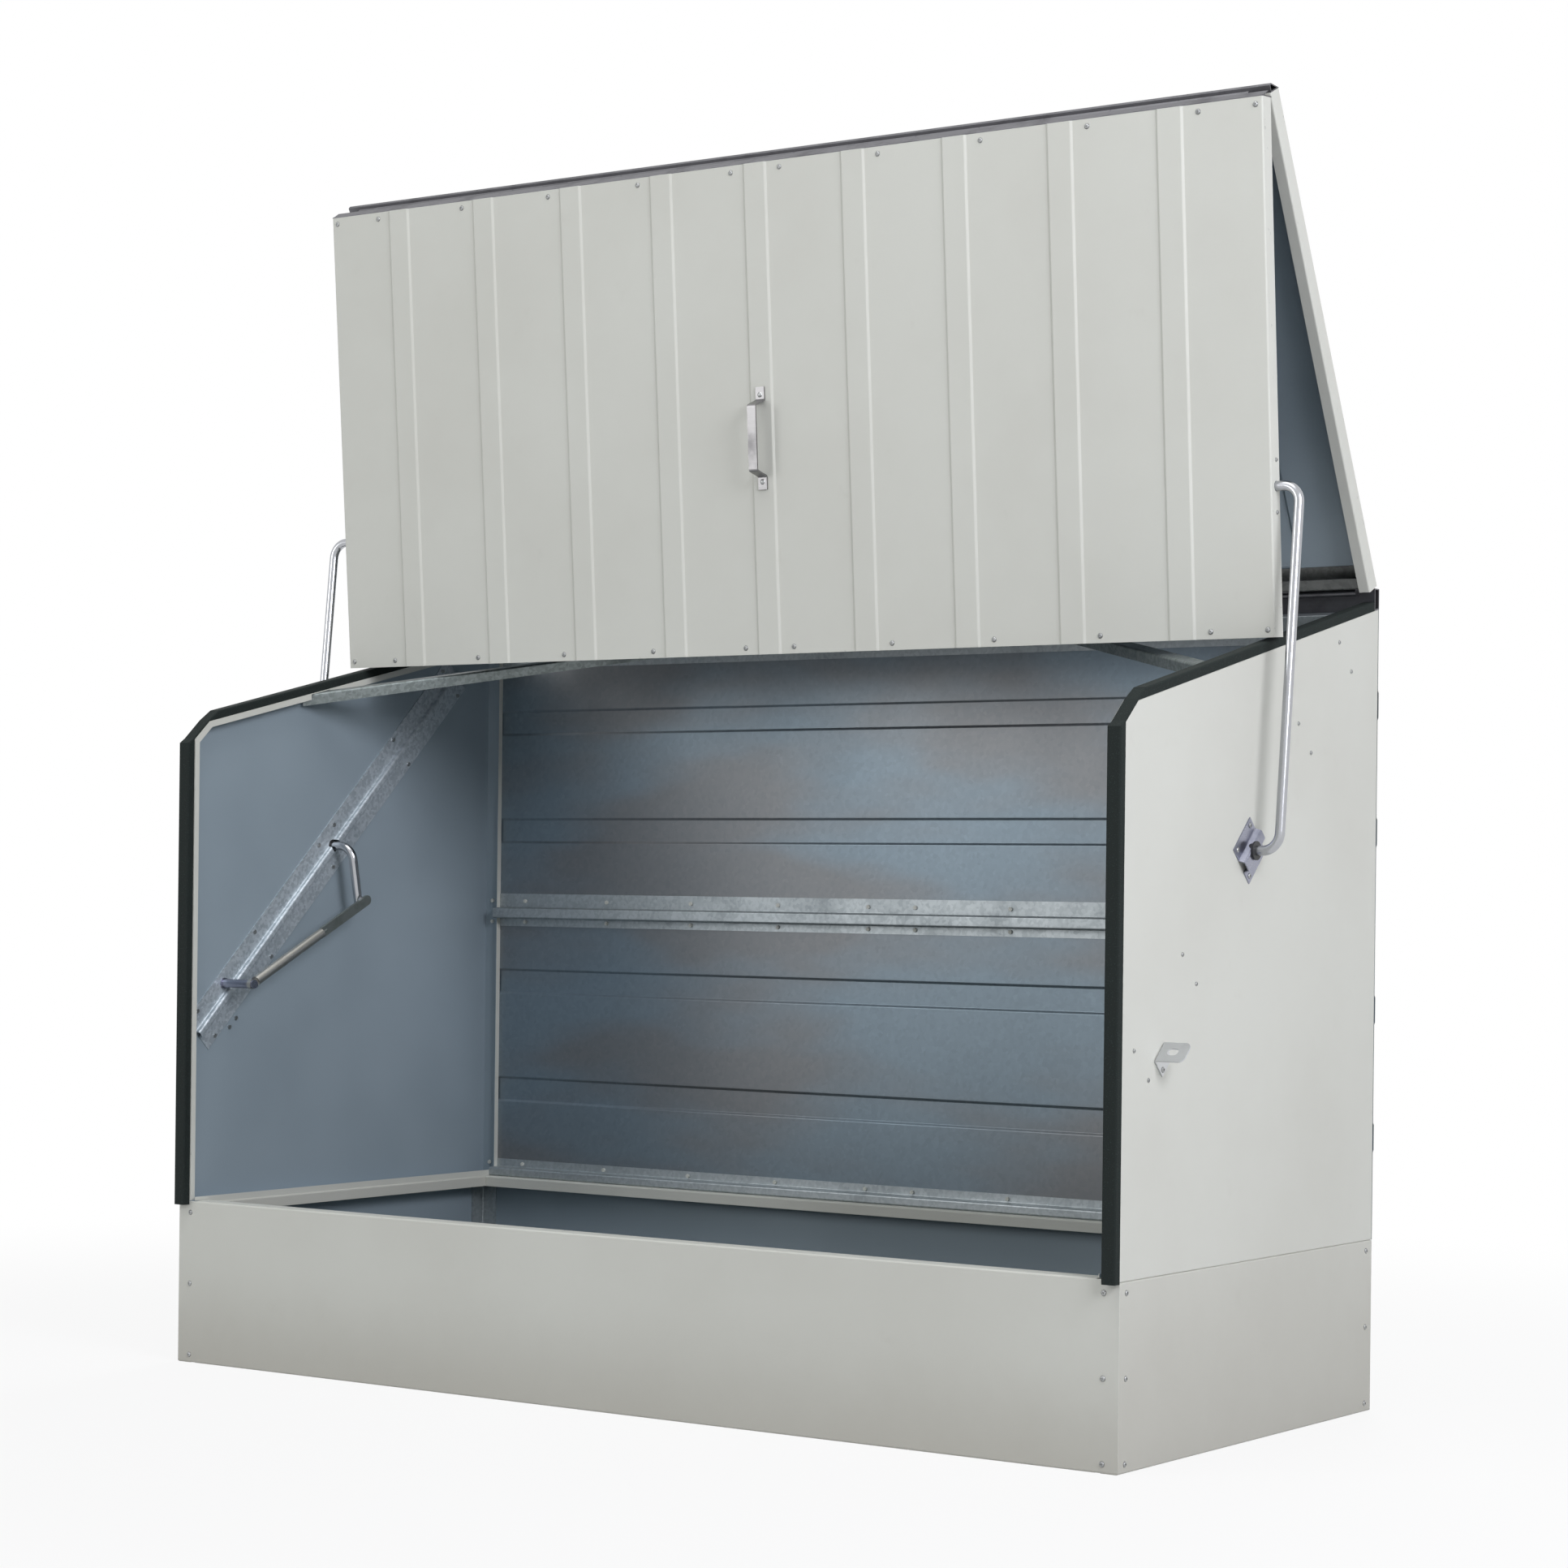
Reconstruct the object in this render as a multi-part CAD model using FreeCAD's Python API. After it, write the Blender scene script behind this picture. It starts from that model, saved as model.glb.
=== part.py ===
import FreeCAD
import Part
import math
import os

# Bicycle locker: a sheet steel cabinet on a plinth, with a roof hinged at the back
# and a front door hung from the roof's front edge and guided by two swinging arms.
# The pieces are placed with the locker open, which is its rest position.
# Millimetres. X runs to the right seen from the front, Y to the back and Z up.
# The origin is on the ground, under the middle of the cabinet.

# Cabinet
cabinet_width = 1936.0
cabinet_depth = 840.0
plinth_height = 285.0
front_edge_height = 1114.0
corner_run = 37.0
corner_rise = 34.0
rear_height = 1338.0
panel_sheet = 1.2
rail_sheet = 1.5
brace_sheet = 2.0
sheet_bend = 2.0
side_flange = 37.0
seal_flange = 26.0
side_lip = 11.0
contact_gap = 0.05
edge_gap = 0.4

# Plinth
plinth_front_rise = 4.0
plinth_foot = 30.0
plinth_top_flange = 40.0
plinth_front_flange = 36.0
plinth_top_lip = 20.0
post_leg = 35.0
plinth_screw_above_ground = 14.0
plinth_screw_below_top = 17.0
plinth_screw_from_side = 27.0
plinth_screw_from_front = 21.0
floor_top = 25.0
floor_joint = 1.0
joist_half_width = 30.0
joist_lip = 20.0

# Back
back_ribs_below_joint = (356.0, 143.0)
back_ribs_above_joint = (154.0, 366.0)
middle_rail_below_joint = 17.0
middle_rail_height = 18.0
middle_rail_depth = 22.0
middle_rail_foot = 29.0
rail_foot = 17.0
bottom_rail_height = 14.0
bottom_rail_depth = 25.0
top_rail_run = 42.0
top_rail_drop = 53.0

# Ribs in the sheets
rib_width = 50.0
rib_rise = 3.0
rib_shoulder = 4.0
rib_pitch = 203.5
ribs_each_side = 4

# Rubber seals on the side panels
seal_width = 24.0
seal_thickness = 15.0
corner_seal_thickness = 3.0
seal_running_gap = 0.5
seal_overlap = 3.0
front_seal_below_edge = 6.0
top_seal_setback = 24.0
seal_round = 3.0

# Door
door_overhang = 12.0
door_top_above_edge = 21.0
panel_fold = 30.0
door_lip = 18.0
door_lip_notch = 36.0
door_bottom_rail_from_side = 51.0
door_rail_leg = 32.0
door_rail_inset = 3.0
door_bottom_rail_setback = 2.0

# Roof
roof_overhang = 5.0
roof_lip = 20.0
roof_rear_start = 6.0
roof_end_to_hinge = 2.6
roof_rail_from_side = 4.0
roof_rail_leg = 34.0
roof_rail_depth = 26.0
roof_rail_return = 20.0

# Screws of the door and roof sheets
screw_from_rib = 51.5
screw_from_side = 12.5
screw_from_edge = 12.0

# Roof hinge at the back
roof_hinge_from_rear = 18.15
roof_hinge_below_skin = 13.0
roof_opening = 77.25
hinge_knuckle_radius = 6.0
hinge_pin_radius = 2.5
hinge_bore_gap = 0.05
hinge_side_gap = 0.5
hinge_from_side = 28.0
hinge_knuckles = 15
hinge_leaf = 2.0
hinge_leaf_height = 12.0
hinge_leaf_offset = 8.0
rear_cap_height = 34.0
rear_cap_wall = 2.0

# Hinge between the roof's nose and the door
door_hinge_behind_face = 34.43
door_hinge_above_top = 9.38
door_leaf_height = 20.0
door_cap_reach = 18.0
door_cap_rise = 10.0
door_cap_edge = 3.0
nose_length = 14.0
nose_drop = 24.0
nose_lower_drop = 29.5
nose_wall = 2.0

# Swinging arms, one each side
door_open_tilt = 4.28
arm_pivot_below_edge = 185.0
door_pivot_behind_face = 17.65
door_pivot_below_top = 608.0
arm_radius = 8.0
arm_bend = 28.0
arm_clear_of_panel = 53.0
arm_end_in_door = 22.0
arm_running_gap = 0.05
crank_length = 103.0
crank_angle_from_arm = -163.6
crank_inside_panel = 50.0
crank_stud_radius = 6.0
bush_radius = 12.0
bush_flange_radius = 15.0
bush_flange_thickness = 3.0
clip_radius = 10.0
clip_thickness = 4.0
clip_gap = 0.5

# Diagonal braces and pivot plates
brace_angle = 44.4
brace_width = 78.0
brace_ridge_width = 14.0
brace_ridge_rise = 9.0
brace_edge_gap = 2.0
brace_from_front_edge = 37.0
brace_from_top_edge = 43.0
brace_rivet_from_end = 28.0
brace_rivet_from_pivot = 262.0
brace_rivet_half_pitch = 31.8
pivot_plate_size = 74.0
pivot_plate_sheet = 2.0
pivot_plate_ridge = 24.0
pivot_plate_shoulder = 4.0
pivot_plate_rise = 10.0
pivot_screw_offset = 28.0

# Corner braces under the sloped top edge
corner_brace_side_from_front = 292.0
corner_brace_side_inset = 9.0
corner_brace_rear_half_gap = 317.0
corner_brace_rear_inset = 15.0
corner_brace_leg = 20.0
corner_brace_flange = 25.0

# Padlock tabs
tab_reach_from_pivot = 395.0
tab_width = 39.0
tab_beyond_arm = 24.5
tab_foot = 35.0
tab_height = 50.0
tab_sheet = 2.5
tab_corner = 10.0
tab_slot_length = 19.0
tab_slot_width = 14.0
tab_slot_height = 25.0
tab_screw_inset = 8.0
tab_screw_along_foot = 28.0

# Struts inside the side panels
strut_pin_along_brace = -382.2
strut_pin_off_brace = 19.5
strut_pin_radius = 5.0
strut_collar_radius = 8.0
strut_pin_foot_radius = 10.0
strut_pin_foot_thickness = 3.0
strut_inside_crank = 22.0
strut_body_radius = 9.0
strut_body_length = 205.0
strut_neck = 3.0
strut_eye_thickness = 8.0
strut_rod_radius = 4.0
strut_rod_engaged = 185.0
strut_rod_end_gap = 2.0
strut_clevis_width = 18.0
strut_clevis_thickness = 6.0
strut_open_gap = 0.5

# Handle
handle_length = 177.0
handle_top = 384.25
handle_foot = 24.0
handle_rise_run = 9.5
handle_standoff = 30.0
handle_width = 18.0
handle_strip = 3.0
handle_screw_from_end = 13.5

# Plates behind the door's side folds that carry the arm ends
socket_length = 112.0
socket_sheet = 2.8
socket_rivet_offset = 41.5
socket_boss_radius = 10.5

# Fasteners
screw_head_radius = 4.8
screw_head_height = 2.4
screw_shank_radius = 3.0
nut_radius = 4.0
nut_height = 3.0
hole_gap = 0.1

# Room for cutters to run past a face, and the tolerance for picking edges
cut_margin = 1.0
drill_reach = 12.0
bush_drill_reach = 30.0
tolerance = 0.01

os.makedirs("parts", exist_ok=True)

origin = FreeCAD.Vector(0, 0, 0)
x_axis = FreeCAD.Vector(1, 0, 0)
y_axis = FreeCAD.Vector(0, 1, 0)
z_axis = FreeCAD.Vector(0, 0, 1)


def vector(x, y, z):
    return FreeCAD.Vector(x, y, z)


def unit(v):
    return v * (1.0 / v.Length)


def in_side_plane(degrees):
    """Direction in the Y-Z plane at this angle from +Y towards +Z."""
    angle = math.radians(degrees)
    return vector(0, math.cos(angle), math.sin(angle))


def at_x(point, x):
    return vector(x, point.y, point.z)


def box(x0, x1, y0, y1, z0, z1):
    return Part.makeBox(x1 - x0, y1 - y0, z1 - z0, vector(x0, y0, z0))


def rod(start, end, radius):
    return Part.makeCylinder(radius, (end - start).Length, start, end - start)


def prism(points, along):
    return Part.Face(Part.makePolygon(points + [points[0]])).extrude(along)


def side_prism(outline, x0, x1):
    """Plate with this Y-Z outline between two X positions."""
    return prism([vector(x0, y, z) for y, z in outline], vector(x1 - x0, 0, 0))


def joined(solids):
    return solids[0].multiFuse(solids[1:]).removeSplitter()


def mirrored(shape):
    return shape.mirror(origin, x_axis)


def save(node, solids):
    shape = solids[0] if len(solids) == 1 else Part.makeCompound(solids)
    shape.exportStep("parts/" + node + ".step")


def save_pair(node, solids):
    """A right-hand piece and its mirrored left-hand twin."""
    save(node + "_right", solids)
    save(node + "_left", [mirrored(solid) for solid in solids])


def moved(solids, placement):
    result = []
    for solid in solids:
        copy = solid.copy()
        copy.Placement = placement.multiply(copy.Placement)
        result.append(copy)
    return result


def inset(outline, distances):
    """Closed anticlockwise outline with each edge moved inwards by its own distance."""
    count = len(outline)
    lines = []
    for index, distance in enumerate(distances):
        y0, z0 = outline[index]
        y1, z1 = outline[(index + 1) % count]
        length = math.hypot(y1 - y0, z1 - z0)
        dy, dz = (y1 - y0) / length, (z1 - z0) / length
        lines.append((y0 - dz * distance, z0 + dy * distance, dy, dz))
    points = []
    for index in range(count):
        ya, za, dya, dza = lines[index - 1]
        yb, zb, dyb, dzb = lines[index]
        along = ((yb - ya) * dzb - (zb - za) * dyb) / (dya * dzb - dza * dyb)
        points.append((ya + along * dya, za + along * dza))
    return points


def rounded_run(corners, radii):
    """Straight edges along the corners, with an arc of the given radius at each inner corner."""
    edges = []
    here = corners[0]
    for before, corner, after, radius in zip(corners, corners[1:], corners[2:], radii):
        into = unit(corner - before)
        out = unit(after - corner)
        half_turn = into.getAngle(out) / 2
        tangent = radius * math.tan(half_turn)
        start = corner - into * tangent
        end = corner + out * tangent
        inward = unit(out - into)
        middle = corner + inward * (radius / math.cos(half_turn) - radius)
        edges.append(Part.LineSegment(here, start).toShape())
        edges.append(Part.Arc(start, middle, end).toShape())
        here = end
    edges.append(Part.LineSegment(here, corners[-1]).toShape())
    return edges


def folded(points, thickness, start, along_a, along_b, length, bend=sheet_bend):
    """Bent sheet. The points run along one face and the sheet lies to their left.
    They are in the plane of along_a and along_b, and the section is swept
    along their cross product from the start point."""
    face = [vector(a, b, 0) for a, b in points]
    runs = [unit(end - begin) for begin, end in zip(face, face[1:])]
    lefts = [vector(-run.y, run.x, 0) for run in runs]
    back = [face[0] + lefts[0] * thickness]
    face_radii = []
    back_radii = []
    for index in range(1, len(runs)):
        before, after = lefts[index - 1], lefts[index]
        back.append(face[index] + (before + after) * (thickness / (1 + before.dot(after))))
        turns_left = runs[index - 1].cross(runs[index]).z > 0
        face_radii.append(bend + thickness if turns_left else bend)
        back_radii.append(bend if turns_left else bend + thickness)
    back.append(face[-1] + lefts[-1] * thickness)
    edges = rounded_run(face, face_radii)
    edges.append(Part.LineSegment(face[-1], back[-1]).toShape())
    edges += rounded_run(back[::-1], back_radii[::-1])
    edges.append(Part.LineSegment(back[0], face[0]).toShape())
    sheet = Part.Face(Part.Wire(edges)).extrude(z_axis * length)
    along_c = along_a.cross(along_b)
    sheet.Placement = FreeCAD.Placement(FreeCAD.Matrix(
        along_a.x, along_b.x, along_c.x, start.x,
        along_a.y, along_b.y, along_c.y, start.y,
        along_a.z, along_b.z, along_c.z, start.z,
        0, 0, 0, 1))
    return sheet


def ribbed(centres, level):
    """Corner points of raised ribs across a flat sheet whose face is at this level."""
    points = []
    for centre in centres:
        points.append((centre - rib_width / 2, level))
        points.append((centre - rib_width / 2 + rib_shoulder, level - rib_rise))
        points.append((centre + rib_width / 2 - rib_shoulder, level - rib_rise))
        points.append((centre + rib_width / 2, level))
    return points


def fastener(grip):
    """Dome head above the origin, shank through the grip and a nut or upset end below it."""
    dome = (screw_head_radius ** 2 + screw_head_height ** 2) / (2 * screw_head_height)
    half = math.asin(screw_head_radius / dome) / 2
    crown = vector(dome * math.sin(half), 0, screw_head_height - dome + dome * math.cos(half))
    top = vector(0, 0, screw_head_height)
    rim = vector(screw_head_radius, 0, 0)
    steps = [top,
             vector(0, 0, -grip - nut_height),
             vector(nut_radius, 0, -grip - nut_height),
             vector(nut_radius, 0, -grip),
             vector(screw_shank_radius, 0, -grip),
             vector(screw_shank_radius, 0, 0),
             rim]
    edges = [Part.LineSegment(a, b).toShape() for a, b in zip(steps, steps[1:])]
    edges.append(Part.Arc(rim, crown, top).toShape())
    return Part.Face(Part.Wire(edges)).revolve(origin, z_axis, 360)


def fasteners(places, outward, grip):
    return [moved([fastener(grip)], FreeCAD.Placement(place, FreeCAD.Rotation(z_axis, outward)))[0]
            for place in places]


def drilled(shape, places, axis):
    """Holes with a little room for the fastener shanks, through everything near each place."""
    reach = unit(axis) * drill_reach
    cutters = [rod(place - reach, place + reach, screw_shank_radius + hole_gap) for place in places]
    return shape.cut(Part.makeCompound(cutters))


def bent_bar(corners, bend, radius):
    """Round bar along straight runs joined by arcs."""
    path = Part.Wire(rounded_run(corners, [bend] * (len(corners) - 2)))
    section = Part.Wire(Part.makeCircle(radius, corners[0], corners[1] - corners[0]))
    return path.makePipeShell([section], True, False)


def knuckles(centre, first, barrel_to_leaf):
    """Every second knuckle of a hinge line, with the web that ties each to its leaf."""
    pitch = hinge_length / hinge_knuckles
    result = []
    for index in range(first, hinge_knuckles, 2):
        x0 = -hinge_length / 2 + index * pitch + hinge_side_gap / 2
        x1 = x0 + pitch - hinge_side_gap
        barrel = rod(at_x(centre, x0), at_x(centre, x1), hinge_knuckle_radius)
        web = prism([at_x(point, x0) for point in barrel_to_leaf], vector(x1 - x0, 0, 0))
        result.append(barrel.fuse(web))
    return result


# Lines that the rest is measured from
half_width = cabinet_width / 2
front_y = -cabinet_depth / 2
rear_y = cabinet_depth / 2
web_inside = half_width - panel_sheet
flange_inside = half_width - side_flange
seal_flange_inside = half_width - seal_flange
door_width = cabinet_width + 2 * door_overhang
roof_width = cabinet_width + 2 * roof_overhang
hinge_length = cabinet_width - 2 * hinge_from_side
front_rise = plinth_height + plinth_front_rise
door_height = front_edge_height + door_top_above_edge - front_rise
screw_columns = [screw_from_rib + rib * rib_pitch for rib in range(ribs_each_side + 1)]
corner_top = front_edge_height + corner_rise
top_slope = math.atan2(rear_height - corner_top, cabinet_depth - corner_run)
side_outline = [(front_y, plinth_height),
                (rear_y, plinth_height),
                (rear_y, rear_height),
                (front_y + corner_run, corner_top),
                (front_y, front_edge_height)]


def top_edge(y):
    """Height of the side panel's sloped top edge."""
    return rear_height - (rear_y - y) * math.tan(top_slope)


# The closed positions come first, because the closed locker sets every pivot
slope_back = vector(0, math.cos(top_slope), math.sin(top_slope))
slope_up = vector(0, -math.sin(top_slope), math.cos(top_slope))
skin_above_edge = seal_thickness + seal_running_gap + panel_fold
roof_hinge = (vector(0, rear_y, rear_height) - slope_back * roof_hinge_from_rear
              + slope_up * (skin_above_edge - roof_hinge_below_skin))
door_face_closed = front_y - seal_thickness - seal_running_gap - panel_fold
door_top_closed = front_rise + door_height
door_closed = vector(0, door_face_closed, door_top_closed)
hinge_on_door = vector(0, door_hinge_behind_face, door_hinge_above_top)
pivot_on_door = vector(0, door_pivot_behind_face, -door_pivot_below_top)
door_hinge_closed = door_closed + hinge_on_door
door_pivot_closed = door_closed + pivot_on_door

# The roof turns about its hinge, and the open door keeps a set tilt
roof_slope = math.degrees(top_slope)
roof_open = FreeCAD.Placement(roof_hinge, FreeCAD.Rotation(x_axis, roof_slope - roof_opening))
roof_closed = FreeCAD.Placement(roof_hinge, FreeCAD.Rotation(x_axis, roof_slope))
hinge_on_roof = roof_closed.inverse().multVec(door_hinge_closed)
door_hinge_open = roof_open.multVec(hinge_on_roof)
door_turn = FreeCAD.Rotation(x_axis, door_open_tilt)
door_open = FreeCAD.Placement(door_hinge_open - door_turn.multVec(hinge_on_door), door_turn)
door_pivot_open = door_open.multVec(pivot_on_door)

# The arm's pivot is as far from the door's open pivot as from its closed one
arm_pivot_height = front_edge_height - arm_pivot_below_edge
middle_pivot = (door_pivot_open + door_pivot_closed) * 0.5
pivot_shift = door_pivot_open - door_pivot_closed
arm_pivot_forward = (arm_pivot_height - middle_pivot.z) * pivot_shift.z / pivot_shift.y
arm_pivot = vector(0, middle_pivot.y - arm_pivot_forward, arm_pivot_height)
arm_open = door_pivot_open - arm_pivot
arm_closed = door_pivot_closed - arm_pivot
arm_open_angle = math.degrees(math.atan2(arm_open.z, arm_open.y))
arm_closed_angle = math.degrees(math.atan2(arm_closed.z, arm_closed.y)) % 360
arm_swing = arm_closed_angle - arm_open_angle
brace_along = in_side_plane(brace_angle)
brace_across = in_side_plane(brace_angle + 90)


def on_brace(along, across, x):
    return at_x(arm_pivot + brace_along * along + brace_across * across, x)


def with_mirrored(places):
    """The places at the right followed by the same places at the left."""
    return places + [vector(-place.x, place.y, place.z) for place in places]


def both_sides(x_inner, x_outer, y0, y1, z0, z1):
    """The same box at the right and at the left."""
    right = box(x_inner, x_outer, y0, y1, z0, z1)
    return Part.makeCompound([right, mirrored(right)])


# Plinth: four folded sheets screwed to angle posts in the corners
plinth_top_inside = half_width - plinth_top_flange - edge_gap
highest_screw = plinth_height - plinth_screw_below_top
middle_screw = (plinth_screw_above_ground + highest_screw) / 2
plinth_screw_heights = (plinth_screw_above_ground, middle_screw, highest_screw)
post_screws_front = [vector(half_width - plinth_screw_from_side, front_y, z) for z in plinth_screw_heights]
post_screws_rear = [vector(place.x, rear_y, place.z) for place in post_screws_front]
post_screws_side = [vector(half_width, end * (rear_y - plinth_screw_from_front), z)
                    for end in (-1, 1) for z in plinth_screw_heights]
post_grip = panel_sheet + brace_sheet
inside_web = both_sides(plinth_top_inside, half_width + cut_margin,
                        front_y + panel_sheet, rear_y - panel_sheet, -cut_margin, rear_height)

plinth_front = folded([(front_y + plinth_front_flange, front_rise - plinth_top_lip),
                       (front_y + plinth_front_flange, front_rise),
                       (front_y, front_rise),
                       (front_y, 0),
                       (front_y + plinth_foot, 0)],
                      panel_sheet, vector(-half_width, 0, 0), y_axis, z_axis, cabinet_width)
plinth_front = plinth_front.cut(inside_web)
plinth_front = plinth_front.cut(both_sides(web_inside - edge_gap, half_width + cut_margin,
                                           front_y - cut_margin, front_y + plinth_foot,
                                           plinth_height, front_rise + cut_margin))
plinth_front = drilled(plinth_front, with_mirrored(post_screws_front), y_axis)
save("plinth_front", [plinth_front])

plinth_rear = folded([(rear_y - plinth_foot, 0),
                      (rear_y, 0),
                      (rear_y, plinth_height),
                      (rear_y - plinth_top_flange, plinth_height),
                      (rear_y - plinth_top_flange, plinth_height - plinth_top_lip)],
                     panel_sheet, vector(-half_width, 0, 0), y_axis, z_axis, cabinet_width)
plinth_rear = plinth_rear.cut(inside_web)
save("plinth_rear", [drilled(plinth_rear, with_mirrored(post_screws_rear), y_axis)])

plinth_side = folded([(half_width - plinth_foot, 0),
                      (half_width, 0),
                      (half_width, plinth_height),
                      (half_width - plinth_top_flange, plinth_height),
                      (half_width - plinth_top_flange, plinth_height - plinth_top_lip)],
                     panel_sheet, vector(0, rear_y - panel_sheet, 0), x_axis, z_axis,
                     cabinet_depth - 2 * panel_sheet)
plinth_side = drilled(plinth_side, post_screws_side, x_axis)
save_pair("plinth_side", [plinth_side])

post_bottom = panel_sheet + sheet_bend
post_length = plinth_height - 2 * post_bottom
post_outer_y = rear_y - panel_sheet
posts = []
for end in (-1, 1):
    corner = [(web_inside - post_leg, end * post_outer_y),
              (web_inside, end * post_outer_y),
              (web_inside, end * (post_outer_y - post_leg))]
    if end > 0:
        corner.reverse()
    post = folded(corner, brace_sheet, z_axis * post_bottom, x_axis, y_axis, post_length)
    post = drilled(post, post_screws_front if end < 0 else post_screws_rear, y_axis)
    posts.append(drilled(post, post_screws_side, x_axis))
save("plinth_posts", posts + [mirrored(post) for post in posts])

post_screws = (fasteners(post_screws_front, -y_axis, post_grip)
               + fasteners(post_screws_rear, y_axis, post_grip)
               + fasteners(post_screws_side, x_axis, post_grip))
save("plinth_screws", post_screws + [mirrored(screw) for screw in post_screws])

tray_end = rear_y - panel_sheet - sheet_bend - edge_gap
tray_outer = web_inside - post_leg - edge_gap
tray = folded([(tray_outer, panel_sheet),
               (tray_outer, floor_top),
               (floor_joint / 2, floor_top)],
              rail_sheet, vector(0, tray_end, 0), x_axis, z_axis, 2 * tray_end)
save("floor_trays", [tray, mirrored(tray)])

joist_top = floor_top - 2 * rail_sheet - contact_gap
joist_end = rear_y - plinth_foot - edge_gap
joist = folded([(-joist_half_width - joist_lip, joist_top),
                (-joist_half_width, joist_top),
                (-joist_half_width, 0),
                (joist_half_width, 0),
                (joist_half_width, joist_top),
                (joist_half_width + joist_lip, joist_top)],
               rail_sheet, vector(0, joist_end, 0), x_axis, z_axis, 2 * joist_end)
save("floor_joist", [joist])

# Diagonal braces inside the side panels, riveted through the web
brace_lower_reach = (arm_pivot.y - front_y - brace_from_front_edge) / brace_along.y
brace_upper_reach = ((top_edge(arm_pivot.y) - arm_pivot.z - brace_from_top_edge)
                     / (brace_along.z - brace_along.y * math.tan(top_slope)))
brace_rivet_stations = (brace_rivet_from_end - brace_lower_reach, -brace_rivet_from_pivot,
                        brace_rivet_from_pivot, brace_upper_reach - brace_rivet_from_end)
rivet_places = [on_brace(station, across, half_width) for station in brace_rivet_stations
                for across in (-brace_rivet_half_pitch, brace_rivet_half_pitch)]
rivet_grip = panel_sheet + brace_sheet
brace_ridge_inside = brace_ridge_width / 2 - brace_sheet
brace = folded([(-brace_width / 2, 0),
                (-brace_ridge_inside, 0),
                (-brace_ridge_inside, brace_ridge_rise),
                (brace_ridge_inside, brace_ridge_rise),
                (brace_ridge_inside, 0),
                (brace_width / 2, 0)],
               brace_sheet, on_brace(brace_upper_reach, 0, web_inside), brace_across, -x_axis,
               brace_lower_reach + brace_upper_reach)
inside_folds = inset(side_outline, [panel_sheet + brace_edge_gap] * len(side_outline))
brace = brace.common(side_prism(inside_folds, flange_inside, half_width))
plate_places = [on_brace(along, across, half_width) for along in (-pivot_screw_offset, pivot_screw_offset)
                for across in (-pivot_screw_offset, pivot_screw_offset)]
bush_drill_start = at_x(arm_pivot, web_inside - bush_drill_reach)
bush_drill_end = at_x(arm_pivot, half_width + bush_drill_reach)
bush_hole = rod(bush_drill_start, bush_drill_end, bush_radius + hole_gap)
brace = drilled(brace, rivet_places + plate_places, x_axis).cut(bush_hole)
save_pair("brace", [brace])
rivets = fasteners(rivet_places, x_axis, rivet_grip)
save("brace_rivets", rivets + [mirrored(rivet) for rivet in rivets])

# Pivot plates and bushes for the arms
pivot_plate = folded([(-pivot_plate_size / 2, 0),
                      (-pivot_plate_ridge / 2, 0),
                      (pivot_plate_shoulder - pivot_plate_ridge / 2, pivot_plate_rise),
                      (pivot_plate_ridge / 2 - pivot_plate_shoulder, pivot_plate_rise),
                      (pivot_plate_ridge / 2, 0),
                      (pivot_plate_size / 2, 0)],
                     pivot_plate_sheet, on_brace(-pivot_plate_size / 2, 0, half_width), brace_across, x_axis,
                     pivot_plate_size)
pivot_plate = drilled(pivot_plate, plate_places, x_axis).cut(bush_hole)
save_pair("pivot_plate", [pivot_plate])
plate_screws = fasteners([at_x(place, half_width + pivot_plate_sheet) for place in plate_places], x_axis,
                         pivot_plate_sheet + rivet_grip)
save("plate_screws", plate_screws + [mirrored(screw) for screw in plate_screws])

bush_face = half_width + pivot_plate_rise + pivot_plate_sheet
bush = rod(at_x(arm_pivot, web_inside - brace_sheet), at_x(arm_pivot, bush_face), bush_radius)
bush = bush.fuse(rod(at_x(arm_pivot, bush_face), at_x(arm_pivot, bush_face + bush_flange_thickness),
                     bush_flange_radius))
save_pair("pivot_bush", [bush.cut(rod(bush_drill_start, bush_drill_end, arm_radius + arm_running_gap))])

# Padlock tabs, just beyond the closed arms
arm_closed_along = in_side_plane(arm_closed_angle)
arm_closed_beyond = in_side_plane(arm_closed_angle + 90)
tab_start = at_x(arm_pivot + arm_closed_along * tab_reach_from_pivot + arm_closed_beyond * tab_beyond_arm, 0)
tab = folded([(0, half_width + tab_height), (0, half_width), (tab_foot, half_width)],
             tab_sheet, tab_start, arm_closed_beyond, x_axis, tab_width)
tab_end = half_width + tab_height
tab_corners = [edge for edge in tab.Edges if abs(edge.CenterOfMass.x - tab_end) < tolerance
               and abs(edge.Length - tab_sheet) < tolerance]
tab = tab.makeFillet(tab_corner, tab_corners)
slot_middle = at_x(tab_start + arm_closed_along * (tab_width / 2), half_width + tab_slot_height)
slot_half = (tab_slot_length - tab_slot_width) / 2
slot_reach = arm_closed_beyond * (2 * tab_sheet)
for end in (-1, 1):
    centre = slot_middle + x_axis * (end * slot_half)
    tab = tab.cut(rod(centre - slot_reach, centre + slot_reach, tab_slot_width / 2))
slot_corner = slot_middle - slot_reach - arm_closed_along * (tab_slot_width / 2)
tab = tab.cut(prism([slot_corner - x_axis * slot_half,
                     slot_corner + x_axis * slot_half,
                     slot_corner + x_axis * slot_half + arm_closed_along * tab_slot_width,
                     slot_corner - x_axis * slot_half + arm_closed_along * tab_slot_width], slot_reach * 2))
tab_screw_line = tab_start + arm_closed_beyond * tab_screw_along_foot
tab_places = [at_x(tab_screw_line + arm_closed_along * along, half_width)
              for along in (tab_screw_inset, tab_width - tab_screw_inset)]
save_pair("padlock_tab", [drilled(tab, tab_places, x_axis)])
tab_screws = fasteners([at_x(place, half_width + tab_sheet) for place in tab_places], x_axis,
                       tab_sheet + panel_sheet)
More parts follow.
